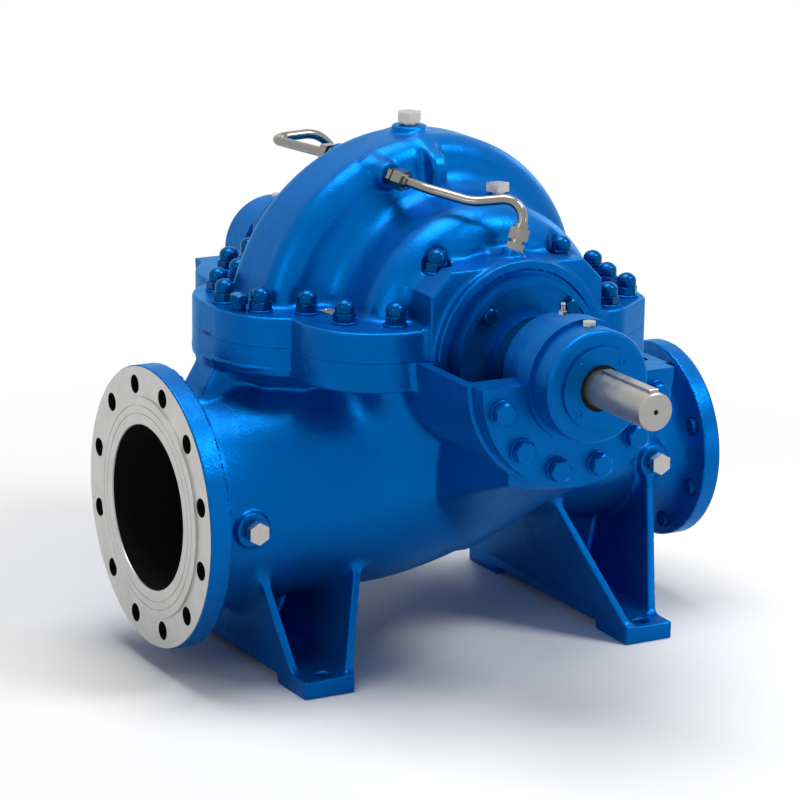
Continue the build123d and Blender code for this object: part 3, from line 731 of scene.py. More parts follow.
def lower_half(x, y, z):
    """Distance from the lower casting before its joint face is planed."""
    y = np.abs(y)
    radial = np.hypot(x, z - shaft_z)
    suction, discharge = nozzle_flanges(x, y, z)
    body = join(join(barrel(x, y, z), suction, 24), discharge, 40)
    body = np.maximum(body, between(x, suction_face + raised_face, discharge_face - raised_face))
    body = join(body, prism(radial - chamber_r, y - chamber_end, chamber_nose), 40)
    body = join(body, saddle(x, y, z), 9)
    body = join(body, prism(joint_outline(x, y), between(z, shaft_z - joint_t, shaft_z + 20), 3), 6)
    trough = prism(radial - trough_r, between(y, trough_start, bracket_end), 3)
    plate = prism(radial - trough_r, between(y, bracket_end - plate_t, bracket_end), 4)
    body = join(body, join(keel(x, y, z), join(trough, plate, 2), 4), 10)
    hollow = prism(radial - trough_r + trough_t, between(y, ring_end - 4, bracket_end - plate_t), 6)
    body = join(cut(body, hollow, 5), prism(radial - ring_r, between(y, ring_start, ring_end), 2), 7)
    body = join(body, foot(np.abs(x), y, z), 14)
    for place, end in drains:
        body = join(body, disc(x - place, z - nozzle_z, y, drain_r, 0, end, 2), 7)
    return drill_lower(body, x, y, z)


def drill_lower(body, x, y, z):
    """Bores, bolt holes, the seat of the bearing housing and the relief under the feet."""
    radial = np.hypot(x, z - shaft_z)
    up = z - nozzle_z
    pipe = np.hypot(y, up)
    for (bore_r, end, nose), side in zip(bore_ends, (1, -1)):
        body = cut(body, prism(pipe - bore_r, side * (x - end), nose))
    for face, circle, count, hole_r in bolt_holes:
        turn = np.arctan2(up, y) * count / (2 * math.pi)
        turn = (turn - np.floor(turn) - 0.5) * 2 * math.pi / count
        hole = np.hypot(pipe * np.cos(turn) - circle, pipe * np.sin(turn)) - hole_r
        body = cut(body, np.maximum(hole, np.abs(x - face) - bolt_hole_depth))
    body = bore_for_shaft(cut(body, np.maximum(radial - housing_r, housing_seat - y)), radial, y)
    under = box(np.abs(x), y, z, (foot_middle_x, 0, 0), (60, foot_half - foot_pad, foot_relief), 2)
    hole_y, hole_r, top = foot_hole
    hole = np.hypot(np.abs(x) - foot_middle_x, y - hole_y) - hole_r
    return cut(cut(body, under), np.maximum(hole, z - top))


print("bolt holes", suction_holes, "and", discharge_holes, "drain bosses", len(drains))

# %% [markdown]
# ## Upper half: spiral volute, suction chambers and seal blocks
# The water leaves the impeller into a passage that grows round the shaft, so the crown's radius grows
# with the angle, from the discharge side over the top to the suction side. The crown is flat in the
# middle with rounded shoulders. A chamber on each side feeds the impeller's two eyes. Its end is
# rounded, and a fillet blends it into the flank of the volute.

# %% Upper casting
volute_start = 203
volute_end = 242
volute_half_start = 42
volute_half_end = 64
shoulder_r = 30
dome_r = 160
dome_flare = 0.03
dome_flare_y = 100
block_half = 115
block_start = 70
block_end = 230
block_top = 505
block_chamfer = 27
vent_x = -20
vent_foot = 568
vent_top = 632
vent_r = 21
rib_t = 20
rib_front = 80
rib_crest = 632.6
rib_slope = 0.345
rib_corner_r = 15
prime_x = 34
prime_y = 120
prime_foot = 474
prime_top = 566
prime_r = 16
block_nuts = (84, 186)
block_nut_z = 495
block_pocket_r = 17
wedge_plan = [(-25, 150), (32, 150), (24, 214), (-17, 214)]
wedge_top = (532, 150)  # z of the plane, and the y at which it has that z
wedge_slope = 0.45
flush_seats = {
    # end: seat and way at the volute, seat and way at the seal
    -1: ((-82, -66, 587), (0.322, -0.936, -0.113), (3, -213, 520), (0.316, 0, 0.949)),
    1: ((-82, 66, 587), (-0.122, 0.992, -0.02), (3, 213, 520), (-0.312, 0, 0.95)),
}
flush_boss = (34, 16, 2)  # depth, radius and edge of the boss behind a seat
fitting_boss = (25, 13, 1.5)


def volute(radial, turn, y):
    """Crown whose radius grows with the angle, between flat flanks, with round shoulders."""
    grown = turn / math.pi
    reach = volute_start + (volute_end - volute_start) * grown
    half = volute_half_start + (volute_half_end - volute_half_start) * grown
    return prism(radial - reach, y - half, shoulder_r)


def seal_block(x, y, z):
    """Block over the shaft seal, with both upper corners cut off at 45 degrees."""
    plain = np.maximum(np.abs(x) - block_half, z - block_top)
    corner = (np.abs(x) + z - block_half - block_top + block_chamfer) * math.sqrt(0.5)
    return prism(np.maximum(plain, corner), between(y, block_start, block_end), 2.5)


def rib(x, y, z):
    """Web on the middle of the crown, its top sloping down from the vent boss to a rounded front."""
    fall = (z - rib_crest + rib_slope * y) / math.hypot(1, rib_slope)
    return prism(np.abs(x - vent_x) - rib_t / 2, prism(y - rib_front, fall, rib_corner_r), 5)


def wedge(x, y, z):
    """Pad of the seal fitting: a plan that narrows to the front, under a plane that slopes down."""
    fall = (z - wedge_top[0] + wedge_slope * (y - wedge_top[1])) / math.hypot(1, wedge_slope)
    return prism(convex(x, y, wedge_plan), fall, 4)


def flush_bosses(x, y, z, end):
    """Round bosses behind the two seats of one flush pipe."""
    at_volute, volute_way, at_seal, seal_way = flush_seats[end]
    bosses = []
    for seat, way, boss in ((at_volute, volute_way, flush_boss), (at_seal, seal_way, fitting_boss)):
        depth, radius, edge = boss
        behind = [s - depth * w for s, w in zip(seat, way)]
        bosses.append(rod(x, y, z, behind, seat, radius, edge))
    return bosses


def upper_half(x, y, z):
    """Distance from the upper casting before its joint face is planed."""
    radial = np.hypot(x, z - shaft_z)
    turn = np.abs(np.arctan2(z - shaft_z, x))
    bosses = [flush_bosses(x, y, z, end) for end in (-1, 1)]
    y = np.abs(y)
    dome_reach = radial - dome_r - dome_flare * (y - dome_flare_y)
    dome = prism(dome_reach, between(y, -63, chamber_end), chamber_nose)
    body = join(volute(radial, turn, y), dome, 46)
    body = join(body, seal_block(x, y, z), 10)
    body = join(body, wedge(x, y, z), 8)
    body = join(body, rib(x, y, z), 9)
    vent = np.hypot(x - vent_x, y) - vent_r
    body = join(body, prism(vent, between(z, vent_foot, vent_top), 2), 8)
    pad = np.hypot(x - prime_x, y - prime_y) - prime_r
    body = join(body, prism(pad, between(z, prime_foot, prime_top), 2), 6)
    for at_volute, at_seal in bosses:
        body = join(join(body, at_volute, 8), at_seal, 5)
    flange = prism(joint_outline(x, y), between(z, flange_top_z - joint_t - 20, flange_top_z), 3)
    body = join(body, flange, 10)
    body = join(body, prism(radial - ring_r, between(y, 98, ring_end), 2), 5)
    pocket = np.hypot(np.abs(x) - block_nuts[0], y - block_nuts[1]) - block_pocket_r
    body = cut(body, np.maximum(pocket, block_nut_z - z), 2)
    return bore_for_shaft(body, radial, y)


print("the crown grows from", volute_start, "to", volute_end, "mm, flush pipes", len(flush_seats))

# %% [markdown]
# ## The two halves are cast
# Both forms now become meshes, each on its own side of the joint. A thin gasket from the CAD model lies
# between them. The upper half reaches a little way into it, so that the two never share a plane. The
# lower half is the same at both ends of the shaft, so one end is worked out and mirrored. The upper
# half has its pipe seats at different places and is worked out whole.

# %% Cast the two halves
casting_triangles = 190000
joint_gap = 0.35
joint_z = shaft_z + joint_gap
lower_reach = ((-372, -352, -6), (371, 352, shaft_z))
upper_reach = ((-304, -246, joint_z), (304, 246, 640))


def cast(name, node, shape, reach, plane, keep, same_ends):
    """Skin of one half as a finished piece that stands in for its CAD node."""
    points, faces = skin(shape, *reach, plane, keep, same_ends)
    piece = add_mesh(name, points, faces)
    thin_out(piece, casting_triangles)
    set_normals(piece, shape, plane)
    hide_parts(node)
    print(name, len(piece.data.polygons), "triangles from", len(faces), "faces")
    return piece


lower = cast("lower_body", "lower_casing", lower_half, lower_reach, shaft_z, 1, True)
upper = cast("upper_body", "upper_casing", upper_half, upper_reach, joint_z, -1, False)

# %% [markdown]
# ## Nuts, bolts and screws
# The halves are held by studs with closed cap nuts, painted with the pump. A nut is turned and milled,
# so its shape is a profile carried round an axis: each ring of the profile has a radius, a height, a
# share of hexagon and a drop at the corners, which gives the chamfer that a turned hexagon shows. One
# nut is worked out and then placed by whole-array sums at every stud, each turned by another angle, as
# a fitter leaves them. The nuts of one kind become one mesh, which keeps the file light.

# %% Profile round an axis
around = np.radians(np.arange(0, 360, 15))
sixth = math.pi / 3
copy_turn = 2.4
sharp_edge = math.radians(32)


def turned(rings):
    """Grid of rings round Z. Radius at an angle: r (1 + share (1 / cos(angle from the flat) - 1))."""
    from_flat = (around + sixth / 2) % sixth - sixth / 2
    corner = 1 / np.cos(from_flat) - 1
    points = []
    for radius, height, share, drop in rings:
        reach = radius * (1 + share * corner)
        level = height - drop * (reach - radius)
        points.append(np.stack((reach * np.cos(around), reach * np.sin(around), level), 1))
    return np.concatenate(points), grid_faces(len(rings), len(around))


def grid_faces(rows, columns):
    """Faces between neighbouring rings of a grid that closes on itself along its columns."""
    i, j = np.meshgrid(np.arange(rows - 1) * columns, np.arange(columns), indexing="ij")
    k = (j + 1) % columns
    return np.stack((i + j, i + k, i + columns + k, i + columns + j), 2).reshape(-1, 4)


def set_at(shape, places):
    """Copies of a shape at (origin, axis) pairs: its Z goes along the axis, its X turns on with each copy."""
    points, faces = shape
    all_points, all_faces = [], []
    for number, (origin, axis) in enumerate(places):
        axis = np.array(axis, float) / np.linalg.norm(axis)
        side = np.cross(axis, (0, 0, 1) if abs(axis[2]) < 0.9 else (1, 0, 0))
        side /= np.linalg.norm(side)
        other = np.cross(axis, side)
        angle = copy_turn * number
        first = math.cos(angle) * side + math.sin(angle) * other
        second = np.cross(axis, first)
        all_points.append(np.array(origin) + points @ np.stack((first, second, axis)))
        all_faces.append(faces + number * len(points))
    return np.concatenate(all_points), np.concatenate(all_faces)


def add_set(name, shape, places):
    """Mesh object with one copy of a shape at every place, its sharper edges kept."""
    piece = add_mesh(name, *set_at(shape, places))
    piece.data.shade_smooth()
    piece.data.set_sharp_from_angle(angle=sharp_edge)
    print(name, len(places), "pieces,", len(piece.data.polygons), "faces")
    return piece


print("a profile is carried round in", len(around), "steps")

# %% [markdown]
# ## Cap nuts
# A cap nut is a hexagon with a closed dome, so that no water stands on the thread. It sits on a washer.
# Each line of its profile is one edge that a turning tool leaves: the washer face, the chamfered
# flats, a narrow neck and the dome, which is a quarter of an ellipse.

# %% Cap nuts of the joint
nut_flats = 24
nut_height = 13
dome_of_nut_r = 11.6
dome_straight = 19.5
dome_rise = 9.3
washer_r = 15
washer_t = 3
corner_drop = 0.58
point_r = 0.01
dome_angles = np.radians((18, 36, 54, 72))
washer_rings = [
    # radius, height, share of hexagon, drop at the corners
    (washer_r, 0, 0, 0),
    (washer_r, washer_t - 0.5, 0, 0),
    (washer_r - 0.5, washer_t, 0, 0),
    (9, washer_t, 0, 0),
]
cap_rings = [
    (nut_flats / 2 - 0.3, washer_t, 0, 0),
    (nut_flats / 2, washer_t + 0.4, 1, 0),
    (nut_flats / 2, nut_height - 0.2, 1, corner_drop),
    (nut_flats / 2 - 0.2, nut_height, 0, 0),
    (dome_of_nut_r - 0.7, nut_height + 0.1, 0, 0),
    (dome_of_nut_r - 0.7, nut_height + 0.8, 0, 0),
    (dome_of_nut_r, nut_height + 1.4, 0, 0),
    (dome_of_nut_r, dome_straight, 0, 0),
]
for angle in dome_angles:
    cap_rings.append((dome_of_nut_r * math.cos(angle), dome_straight + dome_rise * math.sin(angle), 0, 0))
cap_rings.append((point_r, dome_straight + dome_rise, 0, 0))
stud_places = []
for x, y in [(-x, y) for x, y in side_nuts + lobe_nuts] + discharge_nuts:
    stud_places += [(x, sign * y, flange_top_z) for sign in ((-1, 1) if y else (1,))]
stud_places += [(sx * block_nuts[0], sy * block_nuts[1], block_nut_z) for sx in (-1, 1) for sy in (-1, 1)]
upright = [(place, (0, 0, 1)) for place in stud_places]
cap_nuts = add_set("cap_nuts", turned(cap_rings), upright)
cap_nut_washers = add_set("cap_nut_washers", turned(washer_rings), upright)

# %% [markdown]
# ## Bolts round the shaft
# Six bolts hold each bearing housing in its half trough, so they stand on the lower half of a circle.
# The cover of each shaft seal and of each bearing is held by four smaller ones on the diagonals. All of
# them lie on circles round the shaft, so one function gives their places at both ends.

# %% Hexagon bolts of the bearing housings
bolt_head_t = 10
bolt_rings = [
    (nut_flats / 2 - 0.4, washer_t, 0, 0),
    (nut_flats / 2, washer_t + 0.3, 1, 0),
    (nut_flats / 2, washer_t + bolt_head_t - 0.7, 1, corner_drop),
    (nut_flats / 2 - 0.7, washer_t + bolt_head_t, 0, 0),
    (point_r, washer_t + bolt_head_t + 0.2, 0, 0),
]
housing_bolt_circle = 106
housing_bolt_angles = (-165, -135, -105, -75, -45, -15)
housing_plane_y = 370


def round_the_shaft(radius, degrees, near_y, far_y=None):
    """(origin, axis) pairs: x = r cos t and z = shaft + r sin t, on a near and a far plane."""
    places = []
    for y in (-near_y, far_y or near_y):
        for t in np.radians(degrees):
            origin = (radius * math.cos(t), y, shaft_z + radius * math.sin(t))
            places.append((origin, (0, math.copysign(1, y), 0)))
    return places


housing_bolt_places = round_the_shaft(housing_bolt_circle, housing_bolt_angles, housing_plane_y)
housing_bolts = add_set("housing_bolts", turned(bolt_rings), housing_bolt_places)
housing_washers = add_set("housing_washers", turned(washer_rings), housing_bolt_places)

# %% Bolts of the seal covers, screws of the bearing covers
diagonals = (45, 135, 225, 315)
cover_bolt_circle = 77
cover_plane_y = 256
cover_bolt_flats = 17
cover_bolt_rings = [
    (12, 0, 0, 0),
    (12, 1.6, 0, 0),
    (11.6, 2, 0, 0),
    (cover_bolt_flats / 2, 2, 1, 0),
    (cover_bolt_flats / 2, 8, 1, corner_drop),
    (cover_bolt_flats / 2 - 0.6, 8.6, 0, 0),
    (point_r, 8.7, 0, 0),
]
screw_circle = 38.5
near_cover_y = 415
far_cover_y = 416
screw_rings = [
    (4.3, 0, 0, 0),
    (4.3, 0.5, 0, 0),
    (4.0, 0.8, 0, 0),
    (2.7, 0.8, 0, 0),
    (2.2, 0.7, 1, 0),
    (2.2, 0.1, 1, 0),
    (point_r, 0.1, 0, 0),
]
cover_bolt_places = round_the_shaft(cover_bolt_circle, diagonals, cover_plane_y)
cover_screw_places = round_the_shaft(screw_circle, diagonals, near_cover_y, far_cover_y)
seal_cover_bolts = add_set("seal_cover_bolts", turned(cover_bolt_rings), cover_bolt_places)
bearing_cover_screws = add_set("bearing_cover_screws", turned(screw_rings), cover_screw_places)

# %% [markdown]
# ## Jack screws and rivets
# Two screws in threaded holes of the joint flange push the halves apart when the pump is opened. Two
# small rivets hold the blank plate on the flange. Both stand upright, so a place is all they need.

# %% Jack screws and rivets
jack_rings = [
    (8, 0, 0, 0),
    (8, 8.5, 0, 0),
    (10.4, 8.5, 1, 0),
    (10.4, 18.5, 1, corner_drop),
    (9.8, 19.2, 0, 0),
    (point_r, 19.4, 0, 0),
]
jack_places = [((x, y, flange_top_z), (0, 0, 1)) for x, y in ((-267, -41), (205, 88))]
jack_screws = add_set("jack_screws", turned(jack_rings), jack_places)
rivet_rings = [(2.2, 0, 0, 0), (2.1, 0.5, 0, 0), (1.5, 1.1, 0, 0), (point_r, 1.4, 0, 0)]
rivet_reach = 23
name_plate_t = 1.5
plate_middle = np.array((-173, -112, flange_top_z + name_plate_t))
plate_way = np.array((-0.2, 0.98, 0)) / math.hypot(0.2, 0.98)
rivet_places = [(tuple(plate_middle + sign * rivet_reach * plate_way), (0, 0, 1)) for sign in (-1, 1)]
plate_rivets = add_set("plate_rivets", turned(rivet_rings), rivet_places)

# %% [markdown]
# ## Machined flange faces
# The flanges are painted with the pump, but their faces are turned bare on a lathe: the outer ring with
# the bolt holes lies a little lower than the raised face, which has fine grooves that bite into the
# gasket. The raised face is a profile carried round the nozzle's axis. The ring with the holes is a fan
# of equal sectors, each a grid between a hole's edge and the sector's own edge, so every hole is a true
# opening.

# %% Flange faces
face_turns = 144
side_steps = 12
groove_depth = 0.8
groove_half = 0.55
face_sharp_edge = math.radians(20)


def lathe_along_x(profile):
    """Profile of (x, radius) pairs carried round the nozzle axis: y = r cos t, z = axis + r sin t."""
    t = np.arange(face_turns) * 2 * math.pi / face_turns
    points = []
    for x, r in profile:
        points.append(np.stack((np.full(face_turns, x), r * np.cos(t), nozzle_z + r * np.sin(t)), 1))
    return np.concatenate(points), grid_faces(len(profile), face_turns)


def facing(points, faces, outward, judge=0):
    """Turn all faces over where the one that judges looks against the wanted way."""
    a, b, c = (points[faces[judge, i]] for i in range(3))
    if np.dot(np.cross(b - a, c - a), outward) < 0:
        faces = faces[:, ::-1]
    return points, faces


def holed_ring(x, inner_r, outer_r, circle_r, hole_r, holes):
    """Fan of sectors: each point of a hole's edge is joined straight to the sector's edge beyond it."""
    half = math.pi / holes
    turn = np.linspace(-half, half, side_steps + 1)
    side = np.linspace(inner_r, outer_r, side_steps + 1)
    edge = np.concatenate((
        np.stack((np.full(side_steps, outer_r), turn[:-1]), 1),
        np.stack((side[::-1][:-1], np.full(side_steps, half)), 1),
        np.stack((np.full(side_steps, inner_r), turn[::-1][:-1]), 1),
        np.stack((side[:-1], np.full(side_steps, -half)), 1),
    ))
    rim = np.stack((edge[:, 0] * np.cos(edge[:, 1]), edge[:, 0] * np.sin(edge[:, 1])), 1)
    hole = np.array((circle_r, 0)) + hole_r * unit(rim - (circle_r, 0))
    points, faces = [], []
    for number in range(holes):
        angle = (2 * number + 1) * half
        for flat in (hole, rim):
            y = flat[:, 0] * math.cos(angle) - flat[:, 1] * math.sin(angle)
            z = flat[:, 0] * math.sin(angle) + flat[:, 1] * math.cos(angle)
            points.append(np.stack((np.full(len(edge), x), y, nozzle_z + z), 1))
        faces.append(grid_faces(2, len(edge)) + number * 2 * len(edge))
    return np.concatenate(points), np.concatenate(faces)


def raised_profile(face, back, bore_r, raised_r, grooves, inward):
    """From the bore's rounded edge over the grooves to the step: (x, radius) pairs."""
    profile = [(face + 2.0 * inward, bore_r - 0.2), (face + 0.5 * inward, bore_r + 0.2), (face, bore_r + 1.2)]
    for groove in grooves:
        profile += [
            (face, groove - groove_half), (face + groove_depth * inward, groove - groove_half + 0.2),
            (face + groove_depth * inward, groove + groove_half - 0.2), (face, groove + groove_half),
        ]
    return profile + [(face, raised_r - 0.4), (face + 0.4 * inward, raised_r), (back, raised_r)]


def flange_face(name, face, inward, bore_r, raised_r, outer_r, grooves, bolts):
    """Raised face and ring with holes of one flange."""
    back = face + (raised_face - 0.3) * inward
    outward = np.array((-inward, 0, 0))
    profile = raised_profile(face, back, bore_r, raised_r, grooves, inward)
    raised = add_mesh(name + "_raised_face", *facing(*lathe_along_x(profile), outward, 3 * face_turns))
    points, faces = holed_ring(back, raised_r - 0.2, outer_r, *bolts)
    ring = add_mesh(name + "_bolting_face", *facing(points, faces, outward))
    for piece in (raised, ring):
        piece.data.shade_smooth()
        piece.data.set_sharp_from_angle(angle=face_sharp_edge)
    return [raised, ring], back


print("a face is turned in", face_turns, "steps")

# %% [markdown]
# ## Bolt holes and bores
# The faces have openings, and behind each of them the inside of a tube shows. Each bolt hole gets a
# lining of its own. The water passages are bare castings in deep shade, so each bore is a short tube
# with a rounded end, drawn as a profile and turned to face inwards; its near-black colour is painted shade.

# %% Both flanges, their bolt holes and bores
hole_depth = 30
lining_steps = 32
bore_reach = 170
bore_end_r = 20
flange_plan = [
    # name, face, inward, bore, raised face, outer edge, grooves, (bolt circle, hole, number of holes)
    ("suction", suction_face, 1, 99.6, 133, 168.6, (112.8, 122.6), (suction_circle, 11.4, suction_holes)),
    ("discharge", discharge_face, -1, 62.1, 92, 123.6, (), (discharge_circle, 9.4, discharge_holes)),
]


def hole_linings(x, depth, circle_r, hole_r, holes):
    """Short tubes inside the bolt holes."""
    t = np.arange(lining_steps) * 2 * math.pi / lining_steps
    points, faces = [], []
    for number in range(holes):
        angle = (2 * number + 1) * math.pi / holes
        y = circle_r * math.cos(angle) + hole_r * np.cos(t)
        z = nozzle_z + (circle_r * math.sin(angle) + hole_r * np.sin(t))
        points += [np.stack((np.full(lining_steps, along), y, z), 1) for along in (x, x + depth)]
        faces.append(grid_faces(2, lining_steps) + number * 2 * lining_steps)
    return np.concatenate(points), np.concatenate(faces)


def bore_profile(face, inward, bore_r):
    """The passage in painted shade: a tube from just inside the mouth to a rounded end, (x, radius) pairs."""
    end = face + bore_reach * inward
    profile = [(face + 2.4 * inward, bore_r), (end, bore_r)]
    for t in np.radians((30, 60, 90)):
        profile.append((end + bore_end_r * inward * math.sin(t), bore_r - bore_end_r * (1 - math.cos(t))))
    return profile + [(end + (bore_end_r + 1) * inward, point_r)]


flange_faces, flange_holes, flange_bores = [], [], []
for name, face, inward, bore_r, raised_r, outer_r, grooves, bolts in flange_plan:
    pieces, back = flange_face(name, face, inward, bore_r, raised_r, outer_r, grooves, bolts)
    flange_faces += pieces
    points, faces = hole_linings(back, hole_depth * inward, *bolts)
    middle = points[:2 * lining_steps].mean(0)
    flange_holes.append(add_mesh(name + "_bolt_holes", *facing(points, faces, middle - points[0])))
    points, faces = lathe_along_x(bore_profile(face, inward, bore_r))
    flange_bores.append(add_mesh(name + "_bore", *facing(points, faces, (0, -1, 0))))
for piece in flange_holes + flange_bores:
    piece.data.shade_smooth()
print("flange faces", len(flange_faces), "hole sets", len(flange_holes), "bores", len(flange_bores))

# %% [markdown]
# ## Finishes
# Every finish is a small node tree on the object's own coordinates, so it turns with the rotor and looks
# the same from all sides. What is even over a surface is set on the shader. What varies comes from
# noise at the scale of the real cause: sand grain of a few millimetres under the enamel, a slow drift of
# paint thickness, and lathe marks that follow each turned piece's own axis. Sizes are in millimetres.

# %% Node helpers
noise_span = (0.3, 0.7)


def finish(name, colour, roughness, metallic=0.0, level=0.5):
    """A material with its even values on the shader's own sockets."""
    material = bpy.data.materials.new(name)
    material.use_nodes = True
    shader = material.node_tree.nodes["Principled BSDF"]
    shader.inputs["Base Color"].default_value = (*colour, 1)
    shader.inputs["Roughness"].default_value = roughness
    shader.inputs["Metallic"].default_value = metallic
    shader.inputs["Specular IOR Level"].default_value = level
    return material


def place_of(material):
    """The object coordinates, in metres."""
    return material.node_tree.nodes.new("ShaderNodeTexCoord").outputs["Object"]


def noise(material, place, scale, detail, dimensions="3D"):
    """Noise read at a place, or in one dimension at a distance."""
    node = material.node_tree.nodes.new("ShaderNodeTexNoise")
    node.noise_dimensions = dimensions
    node.inputs["Scale"].default_value = scale
    node.inputs["Detail"].default_value = detail
    material.node_tree.links.new(place, node.inputs["W" if dimensions == "1D" else "Vector"])
    return node.outputs["Fac"]


def grain(material, size, detail=2.0):
    """Noise whose lumps are about that size in millimetres."""
    return noise(material, place_of(material), 1000 / size, detail)


def ramp(material, value, low, high):
    """Noise, which hardly leaves the span around its middle, carried from that span to another."""
    return spread(material.node_tree, value, noise_span, low, high)


def tint(material, share, first, second):
    """Colour between two by a varying share, on the shader."""
    nodes, links = material.node_tree.nodes, material.node_tree.links
    node = nodes.new("ShaderNodeMix")
    node.data_type = "RGBA"
    node.inputs["A"].default_value = (*first, 1)
    node.inputs["B"].default_value = (*second, 1)
    links.new(share, node.inputs["Factor"])
    links.new(node.outputs["Result"], nodes["Principled BSDF"].inputs["Base Color"])


def uneven_gloss(material, size, low, high, detail=2.0):
    """Roughness that varies between two values in lumps of a size."""
    roughness = ramp(material, grain(material, size, detail), low, high)
    material.node_tree.links.new(roughness, material.node_tree.nodes["Principled BSDF"].inputs["Roughness"])


def relief(material, *layers):
    """Bump of (height, depth in millimetres) layers, each laid over the one before."""
    nodes, links = material.node_tree.nodes, material.node_tree.links
    normal = None
    for height, depth in layers:
        node = nodes.new("ShaderNodeBump")
        node.inputs["Strength"].default_value = 1.0
        node.inputs["Distance"].default_value = depth * mm
        links.new(height, node.inputs["Height"])
        if normal:
            links.new(normal, node.inputs["Normal"])
        normal = node.outputs["Normal"]
    links.new(normal, nodes["Principled BSDF"].inputs["Normal"])


def away_from(material, axis, middle):
    """Distance in millimetres from an axis through a point, for marks that run round it."""
    nodes, links = material.node_tree.nodes, material.node_tree.links
    shift = nodes.new("ShaderNodeMapping")
    shift.inputs["Location"].default_value = [-m * mm for m in middle]
    links.new(place_of(material), shift.inputs["Vector"])
    flat = nodes.new("ShaderNodeVectorMath")
    flat.operation = "MULTIPLY"
    flat.inputs[1].default_value = [0 if a == axis else 1000 for a in "XYZ"]
    links.new(shift.outputs["Vector"], flat.inputs[0])
    length = nodes.new("ShaderNodeVectorMath")
    length.operation = "LENGTH"
    links.new(flat.outputs["Vector"], length.inputs[0])
    return length.outputs["Value"]


def along(material, axis):
    """Distance in millimetres along an axis of the frame."""
    node = material.node_tree.nodes.new("ShaderNodeSeparateXYZ")
    material.node_tree.links.new(place_of(material), node.inputs["Vector"])
    return arithmetic(material.node_tree, "MULTIPLY", node.outputs[axis], 1000)


print("noise is read between", *noise_span)

# %% [markdown]
# ## Blue enamel
# The pump is sprayed in a deep blue with a metallic sheen, which darkens where it turns away from the
# light and flashes cyan where it mirrors a lamp. A part-metallic shader with a cyan tint on its
# highlight gives both. The grain of the sand shows through on the castings, hardly on turned covers.
# The nuts are glossier, and their copy of the same paint is darkened as painted shade.

# %% Paint
paint_light = (0.0, 0.118, 0.44)
paint_deep = (0.0, 0.098, 0.38)
paint_tint = (0.0, 0.8, 1.0, 1)
paint_metallic = 0.6
paint_level = 0.3
drift_size = 90
gloss_size = 14
lump_size = 22
sand_size = 3.2


def blue_enamel(name, roughness, sand_depth, share=1.0):
    """Enamel sprayed on a sand casting: it drifts a little in depth, and the sand's grain shows through."""
    material = finish(name, paint_light, roughness, paint_metallic, paint_level)
    shader = material.node_tree.nodes["Principled BSDF"]
    shader.inputs["Specular Tint"].default_value = paint_tint
    # a share below 1 darkens both colours of the paint: painted shade
    deep, light = ([share * c for c in colour] for colour in (paint_deep, paint_light))
    tint(material, ramp(material, grain(material, drift_size), 0, 1), deep, light)
    uneven_gloss(material, gloss_size, roughness - 0.04, roughness + 0.05)
    sand = grain(material, sand_size, 3)
    relief(material, (grain(material, lump_size, 1), 2 * sand_depth), (sand, sand_depth))
    return material


cast_enamel = blue_enamel("cast_enamel", 0.32, 0.28)
smooth_enamel = blue_enamel("smooth_enamel", 0.28, 0.06)
# the nuts' copy of the paint at 0.55 of its colour is painted shade
nut_enamel_painted_shade = blue_enamel("nut_enamel_painted_shade", 0.18, 0.03, 0.55)
print("enamels", cast_enamel.name, smooth_enamel.name, nut_enamel_painted_shade.name)

# %% [markdown]
# ## Bare metals
# A lathe leaves fine rings round its axis on a face, and rings one after another along a shaft. Both
# are one-dimensional noise, read over the tool's travel, as a slight relief that draws out the
# highlight. Drawn tube, plated plugs and the blank plate have no such rings, only a fine grain.

# %% Steels
nozzle_axis = (0, 0, nozzle_z)
shaft_axis = (0, 0, shaft_z)
turned_metallic = 0.85


def machined(name, colour, roughness, pitch, depth, axis, middle, on_face):
    """Turned steel: rings round the axis on a face, or one after another along it on a cylinder."""
    material = finish(name, colour, roughness, turned_metallic)
    travel = away_from(material, axis, middle) if on_face else along(material, axis)
    marks = noise(material, travel, 1 / pitch, 3.0, "1D")
    uneven_gloss(material, 9, roughness - 0.05, roughness + 0.07)
    tint(material, ramp(material, grain(material, 30, 3), 0, 1), [0.9 * c for c in colour], colour)
    relief(material, (marks, depth))
    return material


face_steel = machined("face_steel", (0.56, 0.555, 0.54), 0.34, 0.5, 0.02, "X", nozzle_axis, True)
shaft_steel = machined("shaft_steel", (0.38, 0.375, 0.365), 0.34, 0.9, 0.012, "Y", shaft_axis, False)
shaft_end_steel = machined("shaft_end_steel", (0.42, 0.415, 0.405), 0.36, 0.9, 0.012, "Y", shaft_axis, True)


def plain_metal(name, colour, roughness, grain_size, depth):
    """Metal with a fine grain of its own."""
    material = finish(name, colour, roughness, metallic=1.0)
    uneven_gloss(material, 6, roughness - 0.06, roughness + 0.08, 3)
    relief(material, (grain(material, grain_size), depth))
    return material


stainless = plain_metal("stainless_tube", (0.24, 0.23, 0.215), 0.18, 3, 0.02)
zinc_plate = plain_metal("zinc_plated", (0.45, 0.445, 0.43), 0.28, 1.5, 0.03)
plate_metal = plain_metal("bare_plate", (0.62, 0.52, 0.36), 0.36, 2, 0.02)
print("steels", face_steel.name, shaft_steel.name, shaft_end_steel.name, stainless.name, zinc_plate.name)
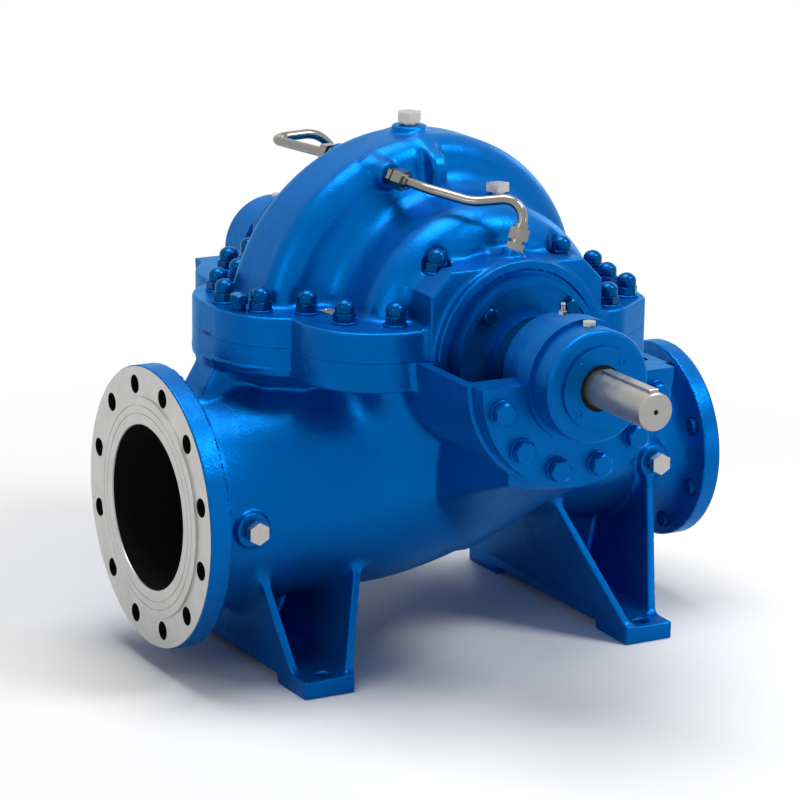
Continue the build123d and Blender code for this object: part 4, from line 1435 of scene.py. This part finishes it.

# %% [markdown]
# ## Rubber, gasket and the dark inside
# The shaft seals and the rings that throw water off the shaft are black rubber, matt and nearly without
# a highlight. The gasket's edge has taken some of the paint. The bores are bare iron in deep shade, and
# a very dark rough surface keeps lamps outside from lighting what no light reaches on the real pump.

# %% Rubber, gasket and raw iron in painted shade
black_rubber = finish("black_rubber", (0.010, 0.010, 0.011), 0.62, level=0.12)
relief(black_rubber, (grain(black_rubber, 1.5), 0.05))
uneven_gloss(black_rubber, 8, 0.55, 0.72)
gasket_sheet = finish("gasket_sheet", (0.0, 0.06, 0.24), 0.7)
tint(gasket_sheet, ramp(gasket_sheet, grain(gasket_sheet, 3, 3), 0, 1), (0.0, 0.05, 0.19), (0.0, 0.07, 0.26))
# bare iron of the bores and suction bolt holes, painted nearly black as painted shade
raw_iron_painted_shade = finish("raw_iron_painted_shade", (0.006, 0.006, 0.007), 0.75, level=0.1)
relief(raw_iron_painted_shade, (grain(raw_iron_painted_shade, 4, 3), 0.3))
uneven_gloss(raw_iron_painted_shade, 12, 0.65, 0.85)
print("materials", len(bpy.data.materials))

# %% [markdown]
# ## Every piece gets its finish
# A new piece is given one material. A CAD node has its material slots already, and only their
# material is set. The nodes of one kind share the start of their names, so one table serves them all,
# and the longest fitting start counts.

# %% Finishes on the pieces
def paint_piece(piece, material):
    """One finish over the whole of a new piece."""
    piece.data.materials.append(material)


for piece in (lower, upper):
    paint_piece(piece, cast_enamel)
# nuts, jack screws and seal cover bolts in the paint darkened as painted shade
for piece in (cap_nuts, jack_screws, seal_cover_bolts):
    paint_piece(piece, nut_enamel_painted_shade)
for piece in (cap_nut_washers, housing_bolts, housing_washers, bearing_cover_screws):
    paint_piece(piece, smooth_enamel)
paint_piece(plate_rivets, zinc_plate)
for piece in flange_faces:
    paint_piece(piece, face_steel)
# suction bolt-hole linings and bores: near black as painted shade
for piece in flange_holes[:1] + flange_bores:
    paint_piece(piece, raw_iron_painted_shade)
for piece in flange_holes[1:]:
    paint_piece(piece, smooth_enamel)
node_finishes = {
    "bearing_housing": cast_enamel,
    "seal_cover": smooth_enamel,
    "bearing_cover": smooth_enamel,
    "end_cover": smooth_enamel,
    "casing_gasket": gasket_sheet,
    "oil_seal": black_rubber,
    "thrower_ring": black_rubber,
    "shaft_sleeve": shaft_steel,
    "shaft": shaft_steel,
    "shaft_key": shaft_steel,
    "sleeve_nut": shaft_end_steel,
    "vent_plug": zinc_plate,
    "priming_plug": zinc_plate,
    "drain_plug": zinc_plate,
    "grease_nipple": zinc_plate,
    "level_plug": zinc_plate,
    "flush_pipe": stainless,
    "flush_fitting": stainless,
    "name_plate": plate_metal,
}
finished_nodes = 0
for name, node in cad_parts.items():
    stems = [stem for stem in node_finishes if name.startswith(stem)]
    if stems:
        for slot in node.material_slots:
            slot.material = node_finishes[max(stems, key=len)]
        finished_nodes += 1
print("nodes with a finish", finished_nodes, "of", len(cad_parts))
